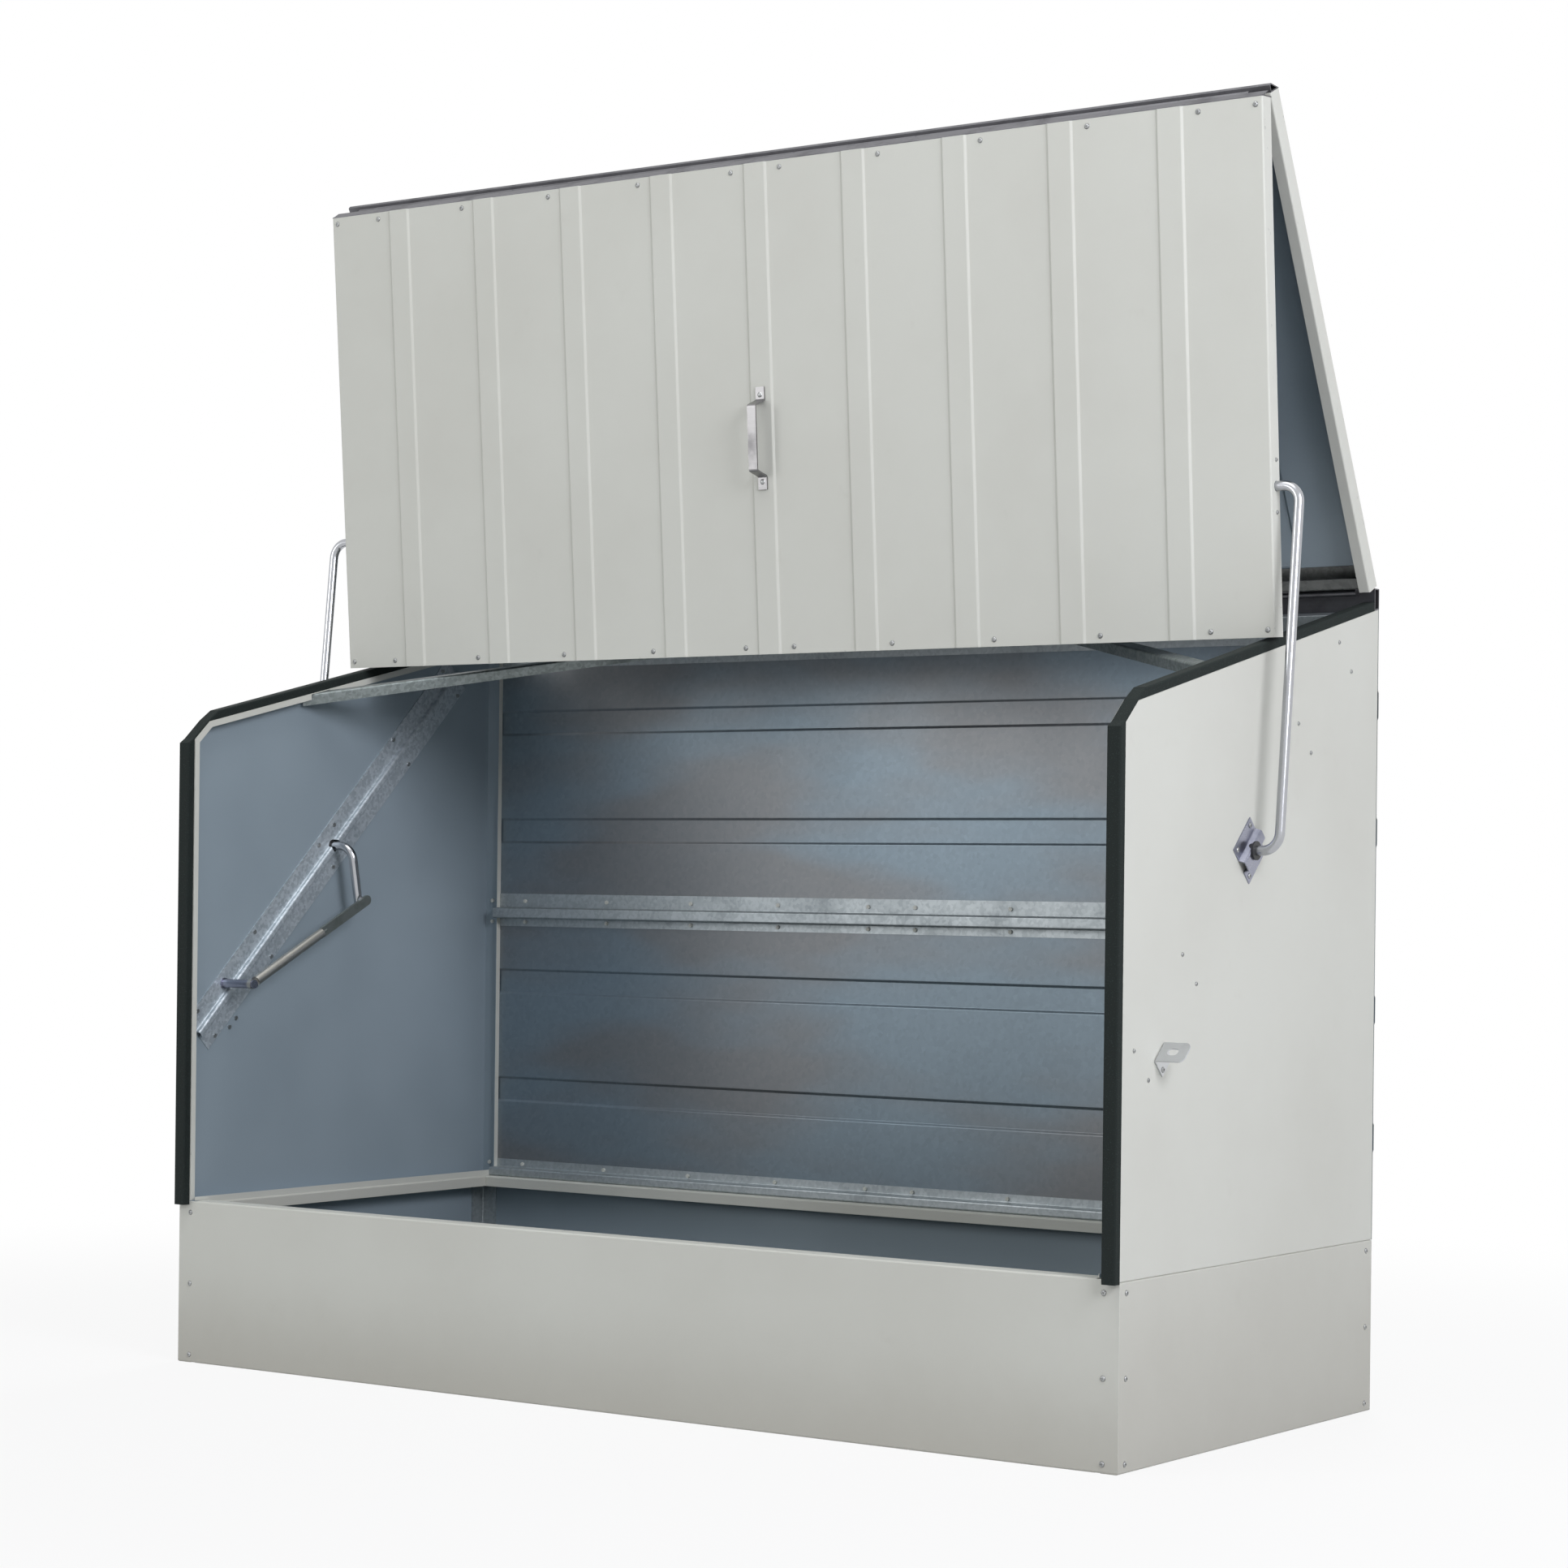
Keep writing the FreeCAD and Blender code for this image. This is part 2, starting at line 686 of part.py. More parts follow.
save("tab_screws", tab_screws + [mirrored(screw) for screw in tab_screws])

# Corner braces: angles lying under the sloped top edge, from the side panel to the back
top_underside = panel_sheet + contact_gap
brace_side_y = front_y + corner_brace_side_from_front
brace_side = vector(half_width - corner_brace_side_inset, brace_side_y,
                    top_edge(brace_side_y) - top_underside)
brace_rear_y = rear_y - corner_brace_rear_inset
brace_rear = vector(corner_brace_rear_half_gap, brace_rear_y,
                    top_edge(brace_rear_y) - top_underside)
corner_brace_along = unit(brace_side - brace_rear)
corner_brace = folded([(corner_brace_flange, 0), (0, 0), (0, -corner_brace_leg)],
                      brace_sheet, brace_rear, slope_up.cross(corner_brace_along), slope_up,
                      (brace_side - brace_rear).Length)
corner_brace = corner_brace.common(box(0, web_inside - edge_gap, front_y,
                                       rear_y - panel_sheet - sheet_bend - edge_gap,
                                       plinth_height, rear_height))
save_pair("corner_brace", [corner_brace])

# Side panels: web, a flange on each edge, narrower under the seals, and a return lip on each flange
side_panel = side_prism(side_outline, flange_inside, half_width)
side_panel = side_panel.makeFillet(sheet_bend, [edge for edge in side_panel.Edges
                                                if abs(edge.BoundBox.XMin - half_width) < tolerance])
cut_from = flange_inside - cut_margin
edges = len(side_outline)
side_panel = side_panel.cut(side_prism(inset(side_outline, [panel_sheet] * edges), cut_from, web_inside))
beyond = -cut_margin
clear = panel_sheet + edge_gap
narrowed = side_prism(inset(side_outline, [beyond] * edges), cut_from, seal_flange_inside)
narrowed = narrowed.cut(side_prism(inset(side_outline, [2 * beyond, 2 * beyond, clear, clear, clear]),
                                   cut_from - cut_margin, seal_flange_inside + cut_margin))
side_panel = side_panel.cut(narrowed)


def side_lips(outer, inner, inside):
    """Return lips between two insets of the outline, at the inner edge of the flanges."""
    lips = side_prism(inset(side_outline, outer), inside, inside + panel_sheet)
    return lips.cut(side_prism(inset(side_outline, inner), inside - cut_margin, half_width))


mid_sheet = panel_sheet / 2
lower_lips = side_lips([mid_sheet, mid_sheet, clear, clear, clear],
                       [side_lip, side_lip, beyond, beyond, beyond], flange_inside)
seal_lips = side_lips([clear, clear, mid_sheet, mid_sheet, mid_sheet],
                      [beyond, beyond, side_lip, side_lip, side_lip], seal_flange_inside)
side_panel = side_panel.fuse([lower_lips, seal_lips]).removeSplitter()
side_panel = side_panel.cut(box(cut_from, web_inside,
                                front_y - cut_margin, front_y + side_lip + cut_margin,
                                plinth_height - cut_margin, front_rise + edge_gap))
notch_front = brace_side_y + corner_brace_side_inset
notch_rear = notch_front + 2 * corner_brace_flange
lip_notch = [(notch_front, top_edge(notch_front) - 2 * side_lip),
             (notch_rear, top_edge(notch_rear) - 2 * side_lip),
             (notch_rear, top_edge(notch_rear) - panel_sheet),
             (notch_front, top_edge(notch_front) - panel_sheet)]
side_panel = side_panel.cut(side_prism(lip_notch, cut_from, seal_flange_inside + 2 * panel_sheet))
side_panel = side_panel.cut(bush_hole)

# Back: two ribbed sheets with rails across the inside
back_joint_height = (plinth_height + rear_height) / 2
bottom_rail_low = plinth_height + contact_gap + rail_sheet
bottom_rail_high = bottom_rail_low + bottom_rail_height
middle_rail_low = back_joint_height - middle_rail_below_joint
middle_rail_high = middle_rail_low + middle_rail_height
back_screw_heights = (bottom_rail_high + rail_foot / 2,
                      middle_rail_low - rail_foot / 2,
                      middle_rail_high + middle_rail_foot / 2,
                      rear_height - 2 * rail_foot)
back_columns = [side * column for side in (-1, 1) for column in screw_columns]
back_face = rear_y + panel_sheet
back_places = [vector(column, back_face, z) for column in back_columns for z in back_screw_heights]
back_edge_places = [vector(half_width - side_flange / 2, back_face, z) for z in back_screw_heights]
side_panel = drilled(side_panel, back_edge_places, y_axis)
side_panel = drilled(side_panel, rivet_places + plate_places + tab_places, x_axis)
save_pair("side_panel", [side_panel])

back_edges = with_mirrored(back_edge_places)


def back_sheet(low, high, ribs):
    sheet = folded([(low, 0)] + ribbed(ribs, 0) + [(high, 0)], panel_sheet,
                   vector(-half_width, rear_y + panel_sheet, 0), z_axis, -y_axis, cabinet_width)
    places = [place for place in back_places + back_edges if low < place.z < high]
    return drilled(sheet, places, y_axis)


save("back_sheet_lower", [back_sheet(plinth_height, back_joint_height - edge_gap / 2,
                                     [back_joint_height - rib for rib in back_ribs_below_joint])])
save("back_sheet_upper", [back_sheet(back_joint_height + edge_gap / 2, rear_height,
                                     [back_joint_height + rib for rib in back_ribs_above_joint])])


def back_rail(section):
    """Rail across the inside of the back, from heights and how far each point stands forward."""
    half_length = flange_inside - edge_gap
    rail = folded(section, rail_sheet, vector(-half_length, rear_y, 0), z_axis, -y_axis, 2 * half_length)
    return drilled(rail, back_places, y_axis)


save("back_rail_middle", [back_rail([(middle_rail_low - rail_foot, 0),
                                     (middle_rail_low, 0),
                                     (middle_rail_low, middle_rail_depth),
                                     (middle_rail_high, middle_rail_depth),
                                     (middle_rail_high, 0),
                                     (middle_rail_high + middle_rail_foot, 0)])])
save("back_rail_bottom", [back_rail([(bottom_rail_low, edge_gap),
                                     (bottom_rail_low, bottom_rail_depth),
                                     (bottom_rail_high, bottom_rail_depth),
                                     (bottom_rail_high, 0),
                                     (bottom_rail_high + rail_foot, 0)])])
top_rail = folded([(rear_y, rear_height - top_rail_drop),
                   (rear_y, rear_height),
                   (rear_y - top_rail_run, top_edge(rear_y - top_rail_run))],
                  panel_sheet, vector(edge_gap - flange_inside, 0, 0), y_axis, z_axis,
                  2 * (flange_inside - edge_gap))
save("back_rail_top", [drilled(top_rail, back_places, y_axis)])
back_screws = (fasteners(back_places, y_axis, panel_sheet + rail_sheet)
               + fasteners(back_edges, y_axis, 2 * panel_sheet))
save("back_screws", back_screws)

# Rubber seals: along the front edge, over the corner and up the sloped top
seal_inner = half_width - seal_width
front_seal = box(seal_inner, half_width, front_y - seal_thickness, front_y,
                 plinth_height - seal_overlap, front_edge_height - front_seal_below_edge)
seal_face_y = front_y - seal_thickness
front_seal = front_seal.makeFillet(seal_round, [edge for edge in front_seal.Edges
                                                if abs(edge.BoundBox.YMax - seal_face_y) < tolerance
                                                and edge.BoundBox.ZLength > seal_width])
seal_end_y = roof_hinge.y + hinge_leaf_offset + hinge_leaf - edge_gap
top_seal_start = front_y + corner_run + top_seal_setback
seal_lift = seal_thickness / math.cos(top_slope)
top_seal = side_prism([(top_seal_start, top_edge(top_seal_start)),
                       (seal_end_y, top_edge(seal_end_y)),
                       (seal_end_y, top_edge(seal_end_y) + seal_lift),
                       (top_seal_start, top_edge(top_seal_start) + seal_lift)], seal_inner, half_width)
corner_out = unit(vector(0, -corner_rise, corner_run)) * corner_seal_thickness
corner_seal = prism([vector(seal_inner, front_y, front_edge_height),
                     vector(seal_inner, front_y + corner_run, corner_top),
                     vector(seal_inner, front_y + corner_run, corner_top) + corner_out,
                     vector(seal_inner, front_y, front_edge_height) + corner_out], x_axis * seal_width)
save_pair("seal", [front_seal, corner_seal, top_seal])

# Fixed part of the roof hinge, on a cap over the rear edge
cap_front = roof_hinge.y + hinge_leaf_offset + hinge_leaf
cap_outline = [(cap_front, top_edge(cap_front)),
               (rear_y, rear_height),
               (rear_y + panel_sheet, rear_height),
               (rear_y + panel_sheet, rear_height + rear_cap_height),
               (cap_front, rear_height + rear_cap_height)]
rear_cap = side_prism(cap_outline, -half_width, half_width)
cap_hollow = inset(cap_outline, [rear_cap_wall] * len(cap_outline))
save("rear_cap", [rear_cap.cut(side_prism(cap_hollow, -half_width - cut_margin, half_width + cut_margin))])

half_leaf = hinge_leaf_height / 2
half_barrel = hinge_knuckle_radius / 2
hinge_half = hinge_length / 2


def hinge_bore(centre):
    return rod(at_x(centre, -half_width), at_x(centre, half_width), hinge_pin_radius + hinge_bore_gap)


fixed_leaf = box(-hinge_half, hinge_half, cap_front - hinge_leaf, cap_front,
                 roof_hinge.z - half_leaf, roof_hinge.z + half_leaf)
fixed_web = [roof_hinge + vector(0, y, z) for y, z in
             ((0, -half_barrel), (hinge_leaf_offset + hinge_leaf / 2, -half_barrel),
              (hinge_leaf_offset + hinge_leaf / 2, half_barrel), (0, half_barrel))]
hinge_fixed = joined([fixed_leaf] + knuckles(roof_hinge, 0, fixed_web)).cut(hinge_bore(roof_hinge))
save("roof_hinge_fixed", [hinge_fixed])
save("roof_hinge_pin", [rod(at_x(roof_hinge, -hinge_half), at_x(roof_hinge, hinge_half), hinge_pin_radius)])

# Strut anchors on the braces
strut_foot = on_brace(strut_pin_along_brace, strut_pin_off_brace, 0)
crank_x = half_width - crank_inside_panel
strut_x = crank_x - strut_inside_crank
brace_face = web_inside - brace_sheet
eye_inner = strut_x - strut_eye_thickness / 2
eye_outer = strut_x + strut_eye_thickness / 2
strut_anchor = joined([
    rod(at_x(strut_foot, brace_face - strut_pin_foot_thickness), at_x(strut_foot, brace_face),
        strut_pin_foot_radius),
    rod(at_x(strut_foot, eye_outer + strut_open_gap), at_x(strut_foot, brace_face), strut_collar_radius),
    rod(at_x(strut_foot, eye_inner - strut_open_gap), at_x(strut_foot, brace_face), strut_pin_radius),
    rod(at_x(strut_foot, eye_inner - strut_open_gap - clip_thickness),
        at_x(strut_foot, eye_inner - strut_open_gap), strut_collar_radius)])
save_pair("strut_anchor", [strut_anchor])


# Ribbed sheet with folded sides, as used for the roof and the door
def panel_section(width, lip):
    half = width / 2
    centres = [index * rib_pitch for index in range(-ribs_each_side, ribs_each_side + 1)]
    return ([(lip - half, panel_fold), (-half, panel_fold), (-half, 0)]
            + ribbed(centres, 0)
            + [(half, 0), (half, panel_fold), (half - lip, panel_fold)])


def all_columns(width):
    columns = screw_columns + [width / 2 - screw_from_side]
    return [side * column for side in (-1, 1) for column in columns]


# Roof, drawn with its hinge at the origin, the front towards -Y and the skin on top
skin_top = roof_hinge_below_skin
skin_under = skin_top - panel_sheet
roof_front_end = -hinge_on_roof.y - roof_end_to_hinge
roof_length = roof_front_end - roof_rear_start
roof_rail_width = roof_width - 2 * roof_rail_from_side
roof_places = [vector(column, -place, skin_top) for column in all_columns(roof_width)
               for place in (roof_rear_start + screw_from_edge, roof_front_end - screw_from_edge)]
roof_panel = folded(panel_section(roof_width, roof_lip), panel_sheet,
                    vector(0, -roof_front_end, skin_top), x_axis, -z_axis, roof_length)
roof_panel = drilled(roof_panel, roof_places, z_axis)
save("roof_panel", moved([roof_panel], roof_open))

rail_bottom = skin_under - roof_rail_depth
rear_rail_start = hinge_leaf_offset + hinge_leaf
roof_rail_front = folded([(roof_rail_leg - roof_front_end, skin_under),
                          (-roof_front_end, skin_under),
                          (-roof_front_end, rail_bottom),
                          (roof_rail_return - roof_front_end, rail_bottom)],
                         rail_sheet, x_axis * (-roof_rail_width / 2), y_axis, z_axis, roof_rail_width)
roof_rail_rear = folded([(-rear_rail_start - roof_rail_return, rail_bottom),
                         (-rear_rail_start, rail_bottom),
                         (-rear_rail_start, skin_under),
                         (-rear_rail_start - roof_rail_leg, skin_under)],
                        rail_sheet, x_axis * (-roof_rail_width / 2), y_axis, z_axis, roof_rail_width)
save("roof_rail_front", moved([drilled(roof_rail_front, roof_places, z_axis)], roof_open))
save("roof_rail_rear", moved([drilled(roof_rail_rear, roof_places, z_axis)], roof_open))
save("roof_screws", moved(fasteners(roof_places, z_axis, panel_sheet + rail_sheet), roof_open))

roof_leaf = box(-hinge_half, hinge_half, -rear_rail_start, -hinge_leaf_offset, -half_leaf, half_leaf)
roof_web = [vector(0, y, z) for y, z in
            ((0, -half_barrel), (0, half_barrel), (-hinge_leaf_offset - hinge_leaf / 2, half_barrel),
             (-hinge_leaf_offset - hinge_leaf / 2, -half_barrel))]
roof_hinge_leaf = joined([roof_leaf] + knuckles(origin, 1, roof_web)).cut(hinge_bore(origin))
save("roof_hinge_leaf", moved([roof_hinge_leaf], roof_open))

nose_under = skin_top - nose_lower_drop
nose_outline = [(-roof_front_end, nose_under),
                (-roof_front_end, skin_top),
                (-roof_front_end - nose_length, skin_top - nose_drop),
                (-roof_front_end - nose_length + nose_wall, nose_under)]
nose = side_prism(nose_outline, -roof_width / 2, roof_width / 2)
nose = nose.cut(side_prism(inset(nose_outline, [nose_wall] * len(nose_outline)), -roof_width, roof_width))
nose_web = [hinge_on_roof + vector(0, y, 0) for y in (-half_barrel, half_barrel)]
nose_web += [vector(0, hinge_on_roof.y + y, nose_under + nose_wall / 2) for y in (half_barrel, -half_barrel)]
roof_nose = joined([nose] + knuckles(hinge_on_roof, 0, nose_web)).cut(hinge_bore(hinge_on_roof))
save("roof_nose", moved([roof_nose], roof_open))

# Door, drawn with its top edge at the origin, the face towards -Y
door_half = door_width / 2
door_places = [vector(column, 0, z) for column in all_columns(door_width)
               for z in (-screw_from_edge, screw_from_edge - door_height)]
door_panel = folded(panel_section(door_width, door_lip), panel_sheet,
                    z_axis * -door_height, x_axis, y_axis, door_height)
door_panel = drilled(door_panel, door_places, y_axis)
fold_inside = door_half - panel_sheet
door_panel = door_panel.cut(both_sides(door_half - door_lip - cut_margin, fold_inside,
                                       panel_fold - panel_sheet - sheet_bend, panel_fold + cut_margin,
                                       -door_height - cut_margin, door_lip_notch - door_height))
door_panel = door_panel.cut(rod(at_x(pivot_on_door, -door_half - cut_margin),
                                at_x(pivot_on_door, door_half + cut_margin), arm_radius + clip_gap))
socket_places = [vector(door_half, pivot_on_door.y, pivot_on_door.z + side * socket_rivet_offset)
                 for side in (-1, 1)]
door_panel = drilled(door_panel, with_mirrored(socket_places), x_axis)
handle_screws_z = (-handle_top - handle_screw_from_end, handle_screw_from_end - handle_top - handle_length)
handle_places = [vector(0, -rib_rise, z) for z in handle_screws_z]
save("door_panel", moved([drilled(door_panel, handle_places, y_axis)], door_open))

lip_front = panel_fold - panel_sheet - edge_gap
top_rail_half = door_half - panel_sheet - sheet_bend - 2 * edge_gap
door_rail_top = folded([(lip_front, -door_rail_leg),
                        (lip_front, -door_rail_inset),
                        (panel_sheet, -door_rail_inset),
                        (panel_sheet, -door_rail_inset - door_rail_leg)],
                       rail_sheet, x_axis * -top_rail_half, y_axis, z_axis, 2 * top_rail_half)
rail_end = door_rail_inset - door_height
door_bottom_rail_width = door_width - 2 * door_bottom_rail_from_side
door_rail_bottom = folded([(panel_sheet, rail_end + door_rail_leg),
                           (panel_sheet, rail_end),
                           (lip_front - door_bottom_rail_setback, rail_end),
                           (lip_front - door_bottom_rail_setback, rail_end + door_rail_leg)],
                          rail_sheet, x_axis * (-door_bottom_rail_width / 2), y_axis, z_axis,
                          door_bottom_rail_width)
save("door_rail_top", moved([drilled(door_rail_top, door_places, y_axis)], door_open))
save("door_rail_bottom", moved([drilled(door_rail_bottom, door_places, y_axis)], door_open))
railed = [place for place in door_places
          if place.z > -door_height / 2 or abs(place.x) < door_bottom_rail_width / 2]
unrailed = [place for place in door_places if place not in railed]
save("door_screws", moved(fasteners(railed, -y_axis, panel_sheet + rail_sheet)
                          + fasteners(unrailed, -y_axis, panel_sheet), door_open))

leaf_back = lip_front + hinge_leaf
leaf_top = contact_gap + hinge_leaf
door_leaf = box(-hinge_half, hinge_half, lip_front, leaf_back, -door_rail_inset - door_leaf_height, leaf_top)
cap_flat = box(-door_half, door_half, door_cap_edge / 2, leaf_back, contact_gap, leaf_top)
cap_slope = side_prism([(0, contact_gap),
                        (door_cap_edge, contact_gap),
                        (door_cap_reach + door_cap_edge, contact_gap + door_cap_rise),
                        (door_cap_reach, contact_gap + door_cap_rise)], -door_half, door_half)
leaf_web = [vector(0, lip_front, contact_gap),
            vector(0, leaf_back, contact_gap),
            vector(0, hinge_on_door.y, hinge_on_door.z - half_barrel),
            vector(0, hinge_on_door.y - half_barrel, hinge_on_door.z)]
door_hinge = joined([door_leaf, cap_flat, cap_slope] + knuckles(hinge_on_door, 1, leaf_web))
door_hinge = door_hinge.cut(hinge_bore(hinge_on_door))
save("door_hinge", moved([door_hinge], door_open))

grip_level = rib_rise + handle_standoff - handle_strip
handle_end = -handle_top - handle_length
handle = folded([(handle_end, rib_rise),
                 (handle_end + handle_foot, rib_rise),
                 (handle_end + handle_foot + handle_rise_run, grip_level),
                 (-handle_top - handle_foot - handle_rise_run, grip_level),
                 (-handle_top - handle_foot, rib_rise),
                 (-handle_top, rib_rise)],
                handle_strip, x_axis * (-handle_width / 2), z_axis, -y_axis, handle_width)
save("handle", moved([drilled(handle, handle_places, y_axis)], door_open))
save("handle_screws", moved(fasteners([place - y_axis * handle_strip for place in handle_places], -y_axis,
                                      handle_strip + panel_sheet), door_open))

socket_inner = fold_inside - socket_sheet
boss_end = socket_inner - 2 * socket_sheet
bend_room = panel_sheet + sheet_bend + edge_gap
socket = box(socket_inner, fold_inside, bend_room, panel_fold - bend_room,
             pivot_on_door.z - socket_length / 2, pivot_on_door.z + socket_length / 2)
socket = socket.fuse(rod(at_x(pivot_on_door, boss_end), at_x(pivot_on_door, socket_inner),
                         socket_boss_radius))
socket = socket.cut(rod(at_x(pivot_on_door, 0), at_x(pivot_on_door, door_width),
                        arm_radius + arm_running_gap))
socket = drilled(socket, socket_places, x_axis)
save("arm_sockets", moved([socket, mirrored(socket)], door_open))
socket_rivets = fasteners(socket_places, x_axis, panel_sheet + socket_sheet)
save("socket_rivets", moved(socket_rivets + [mirrored(rivet) for rivet in socket_rivets], door_open))

# Arms: one bent bar each, with the crank for the strut inside the cabinet
arm_x = half_width + arm_clear_of_panel
crank_open = in_side_plane(arm_open_angle + crank_angle_from_arm)
crank_pin = at_x(arm_pivot + crank_open * crank_length, crank_x)
arm = bent_bar([crank_pin + crank_open * arm_radius,
                at_x(arm_pivot, crank_x),
                at_x(arm_pivot, arm_x),
                at_x(door_pivot_open, arm_x),
                at_x(door_pivot_open, door_half - arm_end_in_door)], arm_bend, arm_radius)
stud_tip = strut_x + strut_clevis_thickness / 2 + strut_open_gap
arm = arm.fuse(rod(at_x(crank_pin, stud_tip), crank_pin, crank_stud_radius))
save_pair("arm", [arm])
clip_start = boss_end - clip_gap
clip = rod(at_x(door_pivot_open, clip_start - clip_thickness), at_x(door_pivot_open, clip_start),
           clip_radius)
arm_end_hole = rod(at_x(door_pivot_open, 0), at_x(door_pivot_open, door_width), arm_radius)
save_pair("arm_clip", [clip.cut(arm_end_hole)])

# Struts: a tube on the anchor and a rod whose clevis meets the crank
strut_line = at_x(crank_pin, strut_x) - at_x(strut_foot, strut_x)
strut_open_length = strut_line.Length
strut_along = unit(strut_line)
strut_across = strut_along.cross(x_axis)


def on_strut(along, across=0.0, x=strut_x):
    return at_x(strut_foot + strut_along * along + strut_across * across, x)


eye_radius = strut_body_radius
neck_start = eye_radius / 2
neck_half = eye_radius / 2
body_start = eye_radius + strut_neck
neck_end = body_start + cut_margin
strut_body = joined([
    rod(on_strut(0, 0, eye_inner), on_strut(0, 0, eye_outer), eye_radius),
    prism([on_strut(neck_start, -neck_half, eye_inner),
           on_strut(neck_end, -neck_half, eye_inner),
           on_strut(neck_end, neck_half, eye_inner),
           on_strut(neck_start, neck_half, eye_inner)], x_axis * strut_eye_thickness),
    rod(on_strut(body_start), on_strut(strut_body_length), strut_body_radius)])
strut_body = strut_body.cut(rod(on_strut(0, 0, 0), on_strut(0, 0, half_width),
                                strut_pin_radius + arm_running_gap))
rod_end = strut_body_length - strut_rod_engaged
strut_body = strut_body.cut(rod(on_strut(rod_end - strut_rod_end_gap),
                                on_strut(strut_body_length + cut_margin),
                                strut_rod_radius + arm_running_gap))
save_pair("strut_body", [strut_body])

clevis_start = strut_body_length + strut_open_gap
clevis_inner = strut_x - strut_clevis_thickness / 2
clevis_half = strut_clevis_width / 2
strut_rod = joined([
    rod(on_strut(rod_end), on_strut(clevis_start + 2 * strut_clevis_thickness), strut_rod_radius),
    prism([on_strut(clevis_start, -clevis_half, clevis_inner),
           on_strut(strut_open_length, -clevis_half, clevis_inner),
           on_strut(strut_open_length, clevis_half, clevis_inner),
           on_strut(clevis_start, clevis_half, clevis_inner)], x_axis * strut_clevis_thickness),
    rod(on_strut(strut_open_length, 0, clevis_inner),
        on_strut(strut_open_length, 0, clevis_inner + strut_clevis_thickness), clevis_half)])
save_pair("strut_rod", [strut_rod])

# Travel of each pivot from open to closed
crank_closed = arm_pivot + in_side_plane(arm_closed_angle + crank_angle_from_arm) * crank_length
strut_closed = at_x(crank_closed, 0) - at_x(strut_foot, 0)
strut_swing = math.degrees(math.atan2(strut_closed.z, strut_closed.y)
                           - math.atan2(strut_line.z, strut_line.y))
print("roof hinge", roof_hinge, "range", roof_opening)
print("arm pivot", arm_pivot, "swing", arm_swing, "ratio", arm_swing / roof_opening)
print("door pivot open", door_pivot_open, "closed", door_pivot_closed, "arm length", arm_open.Length)
door_swing = -door_open_tilt - arm_swing
print("door swing", door_swing, "ratio", door_swing / roof_opening)
print("strut foot", strut_foot, "swing", strut_swing, "ratio", strut_swing / roof_opening)
slide = strut_closed.Length - strut_open_length
print("strut along", strut_along, "slide", slide)
print("door hinge open", door_hinge_open, "closed", door_hinge_closed, "on roof", hinge_on_roof)
handle_middle = vector(0, -rib_rise - handle_standoff / 2, -handle_top - handle_length / 2)
print("handle middle", door_open.multVec(handle_middle))
print("slot middle", slot_middle, "beyond arm", arm_closed_beyond)
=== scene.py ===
import math

import bmesh
import bpy
from mathutils import Matrix, Vector


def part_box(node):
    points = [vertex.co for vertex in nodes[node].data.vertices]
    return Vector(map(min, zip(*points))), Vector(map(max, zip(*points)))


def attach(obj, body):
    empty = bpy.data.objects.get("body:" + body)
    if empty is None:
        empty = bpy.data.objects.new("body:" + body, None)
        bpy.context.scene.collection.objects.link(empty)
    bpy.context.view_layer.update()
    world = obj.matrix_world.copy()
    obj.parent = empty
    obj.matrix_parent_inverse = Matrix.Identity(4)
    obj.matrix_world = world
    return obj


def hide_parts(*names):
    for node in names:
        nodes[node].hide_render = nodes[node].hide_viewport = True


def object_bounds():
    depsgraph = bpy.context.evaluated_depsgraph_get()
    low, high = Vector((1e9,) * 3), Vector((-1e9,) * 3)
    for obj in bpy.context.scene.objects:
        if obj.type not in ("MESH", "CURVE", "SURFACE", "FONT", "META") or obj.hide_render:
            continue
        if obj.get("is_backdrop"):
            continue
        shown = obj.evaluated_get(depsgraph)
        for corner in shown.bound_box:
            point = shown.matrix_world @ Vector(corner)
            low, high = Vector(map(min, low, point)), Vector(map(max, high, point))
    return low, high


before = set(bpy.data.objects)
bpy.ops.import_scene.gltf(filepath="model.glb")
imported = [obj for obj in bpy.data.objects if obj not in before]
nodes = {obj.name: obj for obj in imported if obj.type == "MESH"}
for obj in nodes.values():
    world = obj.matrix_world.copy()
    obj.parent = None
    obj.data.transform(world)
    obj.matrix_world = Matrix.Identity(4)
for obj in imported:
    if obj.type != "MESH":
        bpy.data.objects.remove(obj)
cad_box = [list(corner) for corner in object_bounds()]

# The camera: stands well to the right of the locker at the height of the plinth's upper half,
# looks level and a little rolled, with a long lens, as the photograph was taken.
photo_pixels = 1932
lens_in_pixels = 4374.55
optical_axis_row = 1080
sensor_mm = 36.0
camera_azimuth = 0.616619
camera_elevation = -0.000826
camera_roll = 0.011446
camera_place = (3.59187, -4.99125, 0.87546)

camera_data = bpy.data.cameras.new("camera")
camera_data.sensor_width = sensor_mm
camera_data.lens = sensor_mm * lens_in_pixels / photo_pixels
camera_data.shift_y = (optical_axis_row - photo_pixels / 2) / photo_pixels
camera_data.clip_end = 60.0
camera = bpy.data.objects.new("camera", camera_data)
bpy.context.scene.collection.objects.link(camera)
backwards = Vector((math.sin(camera_azimuth) * math.cos(camera_elevation),
                    -math.cos(camera_azimuth) * math.cos(camera_elevation),
                    math.sin(camera_elevation)))
sideways = Vector((math.cos(camera_azimuth), math.sin(camera_azimuth), 0.0))
turn = Matrix((sideways, backwards.cross(sideways), backwards)).transposed()
camera.matrix_world = (Matrix.Translation(camera_place) @ turn.to_4x4()
                       @ Matrix.Rotation(camera_roll, 4, "Z"))
bpy.context.scene.camera = camera
bpy.context.scene.view_settings.view_transform = "Standard"


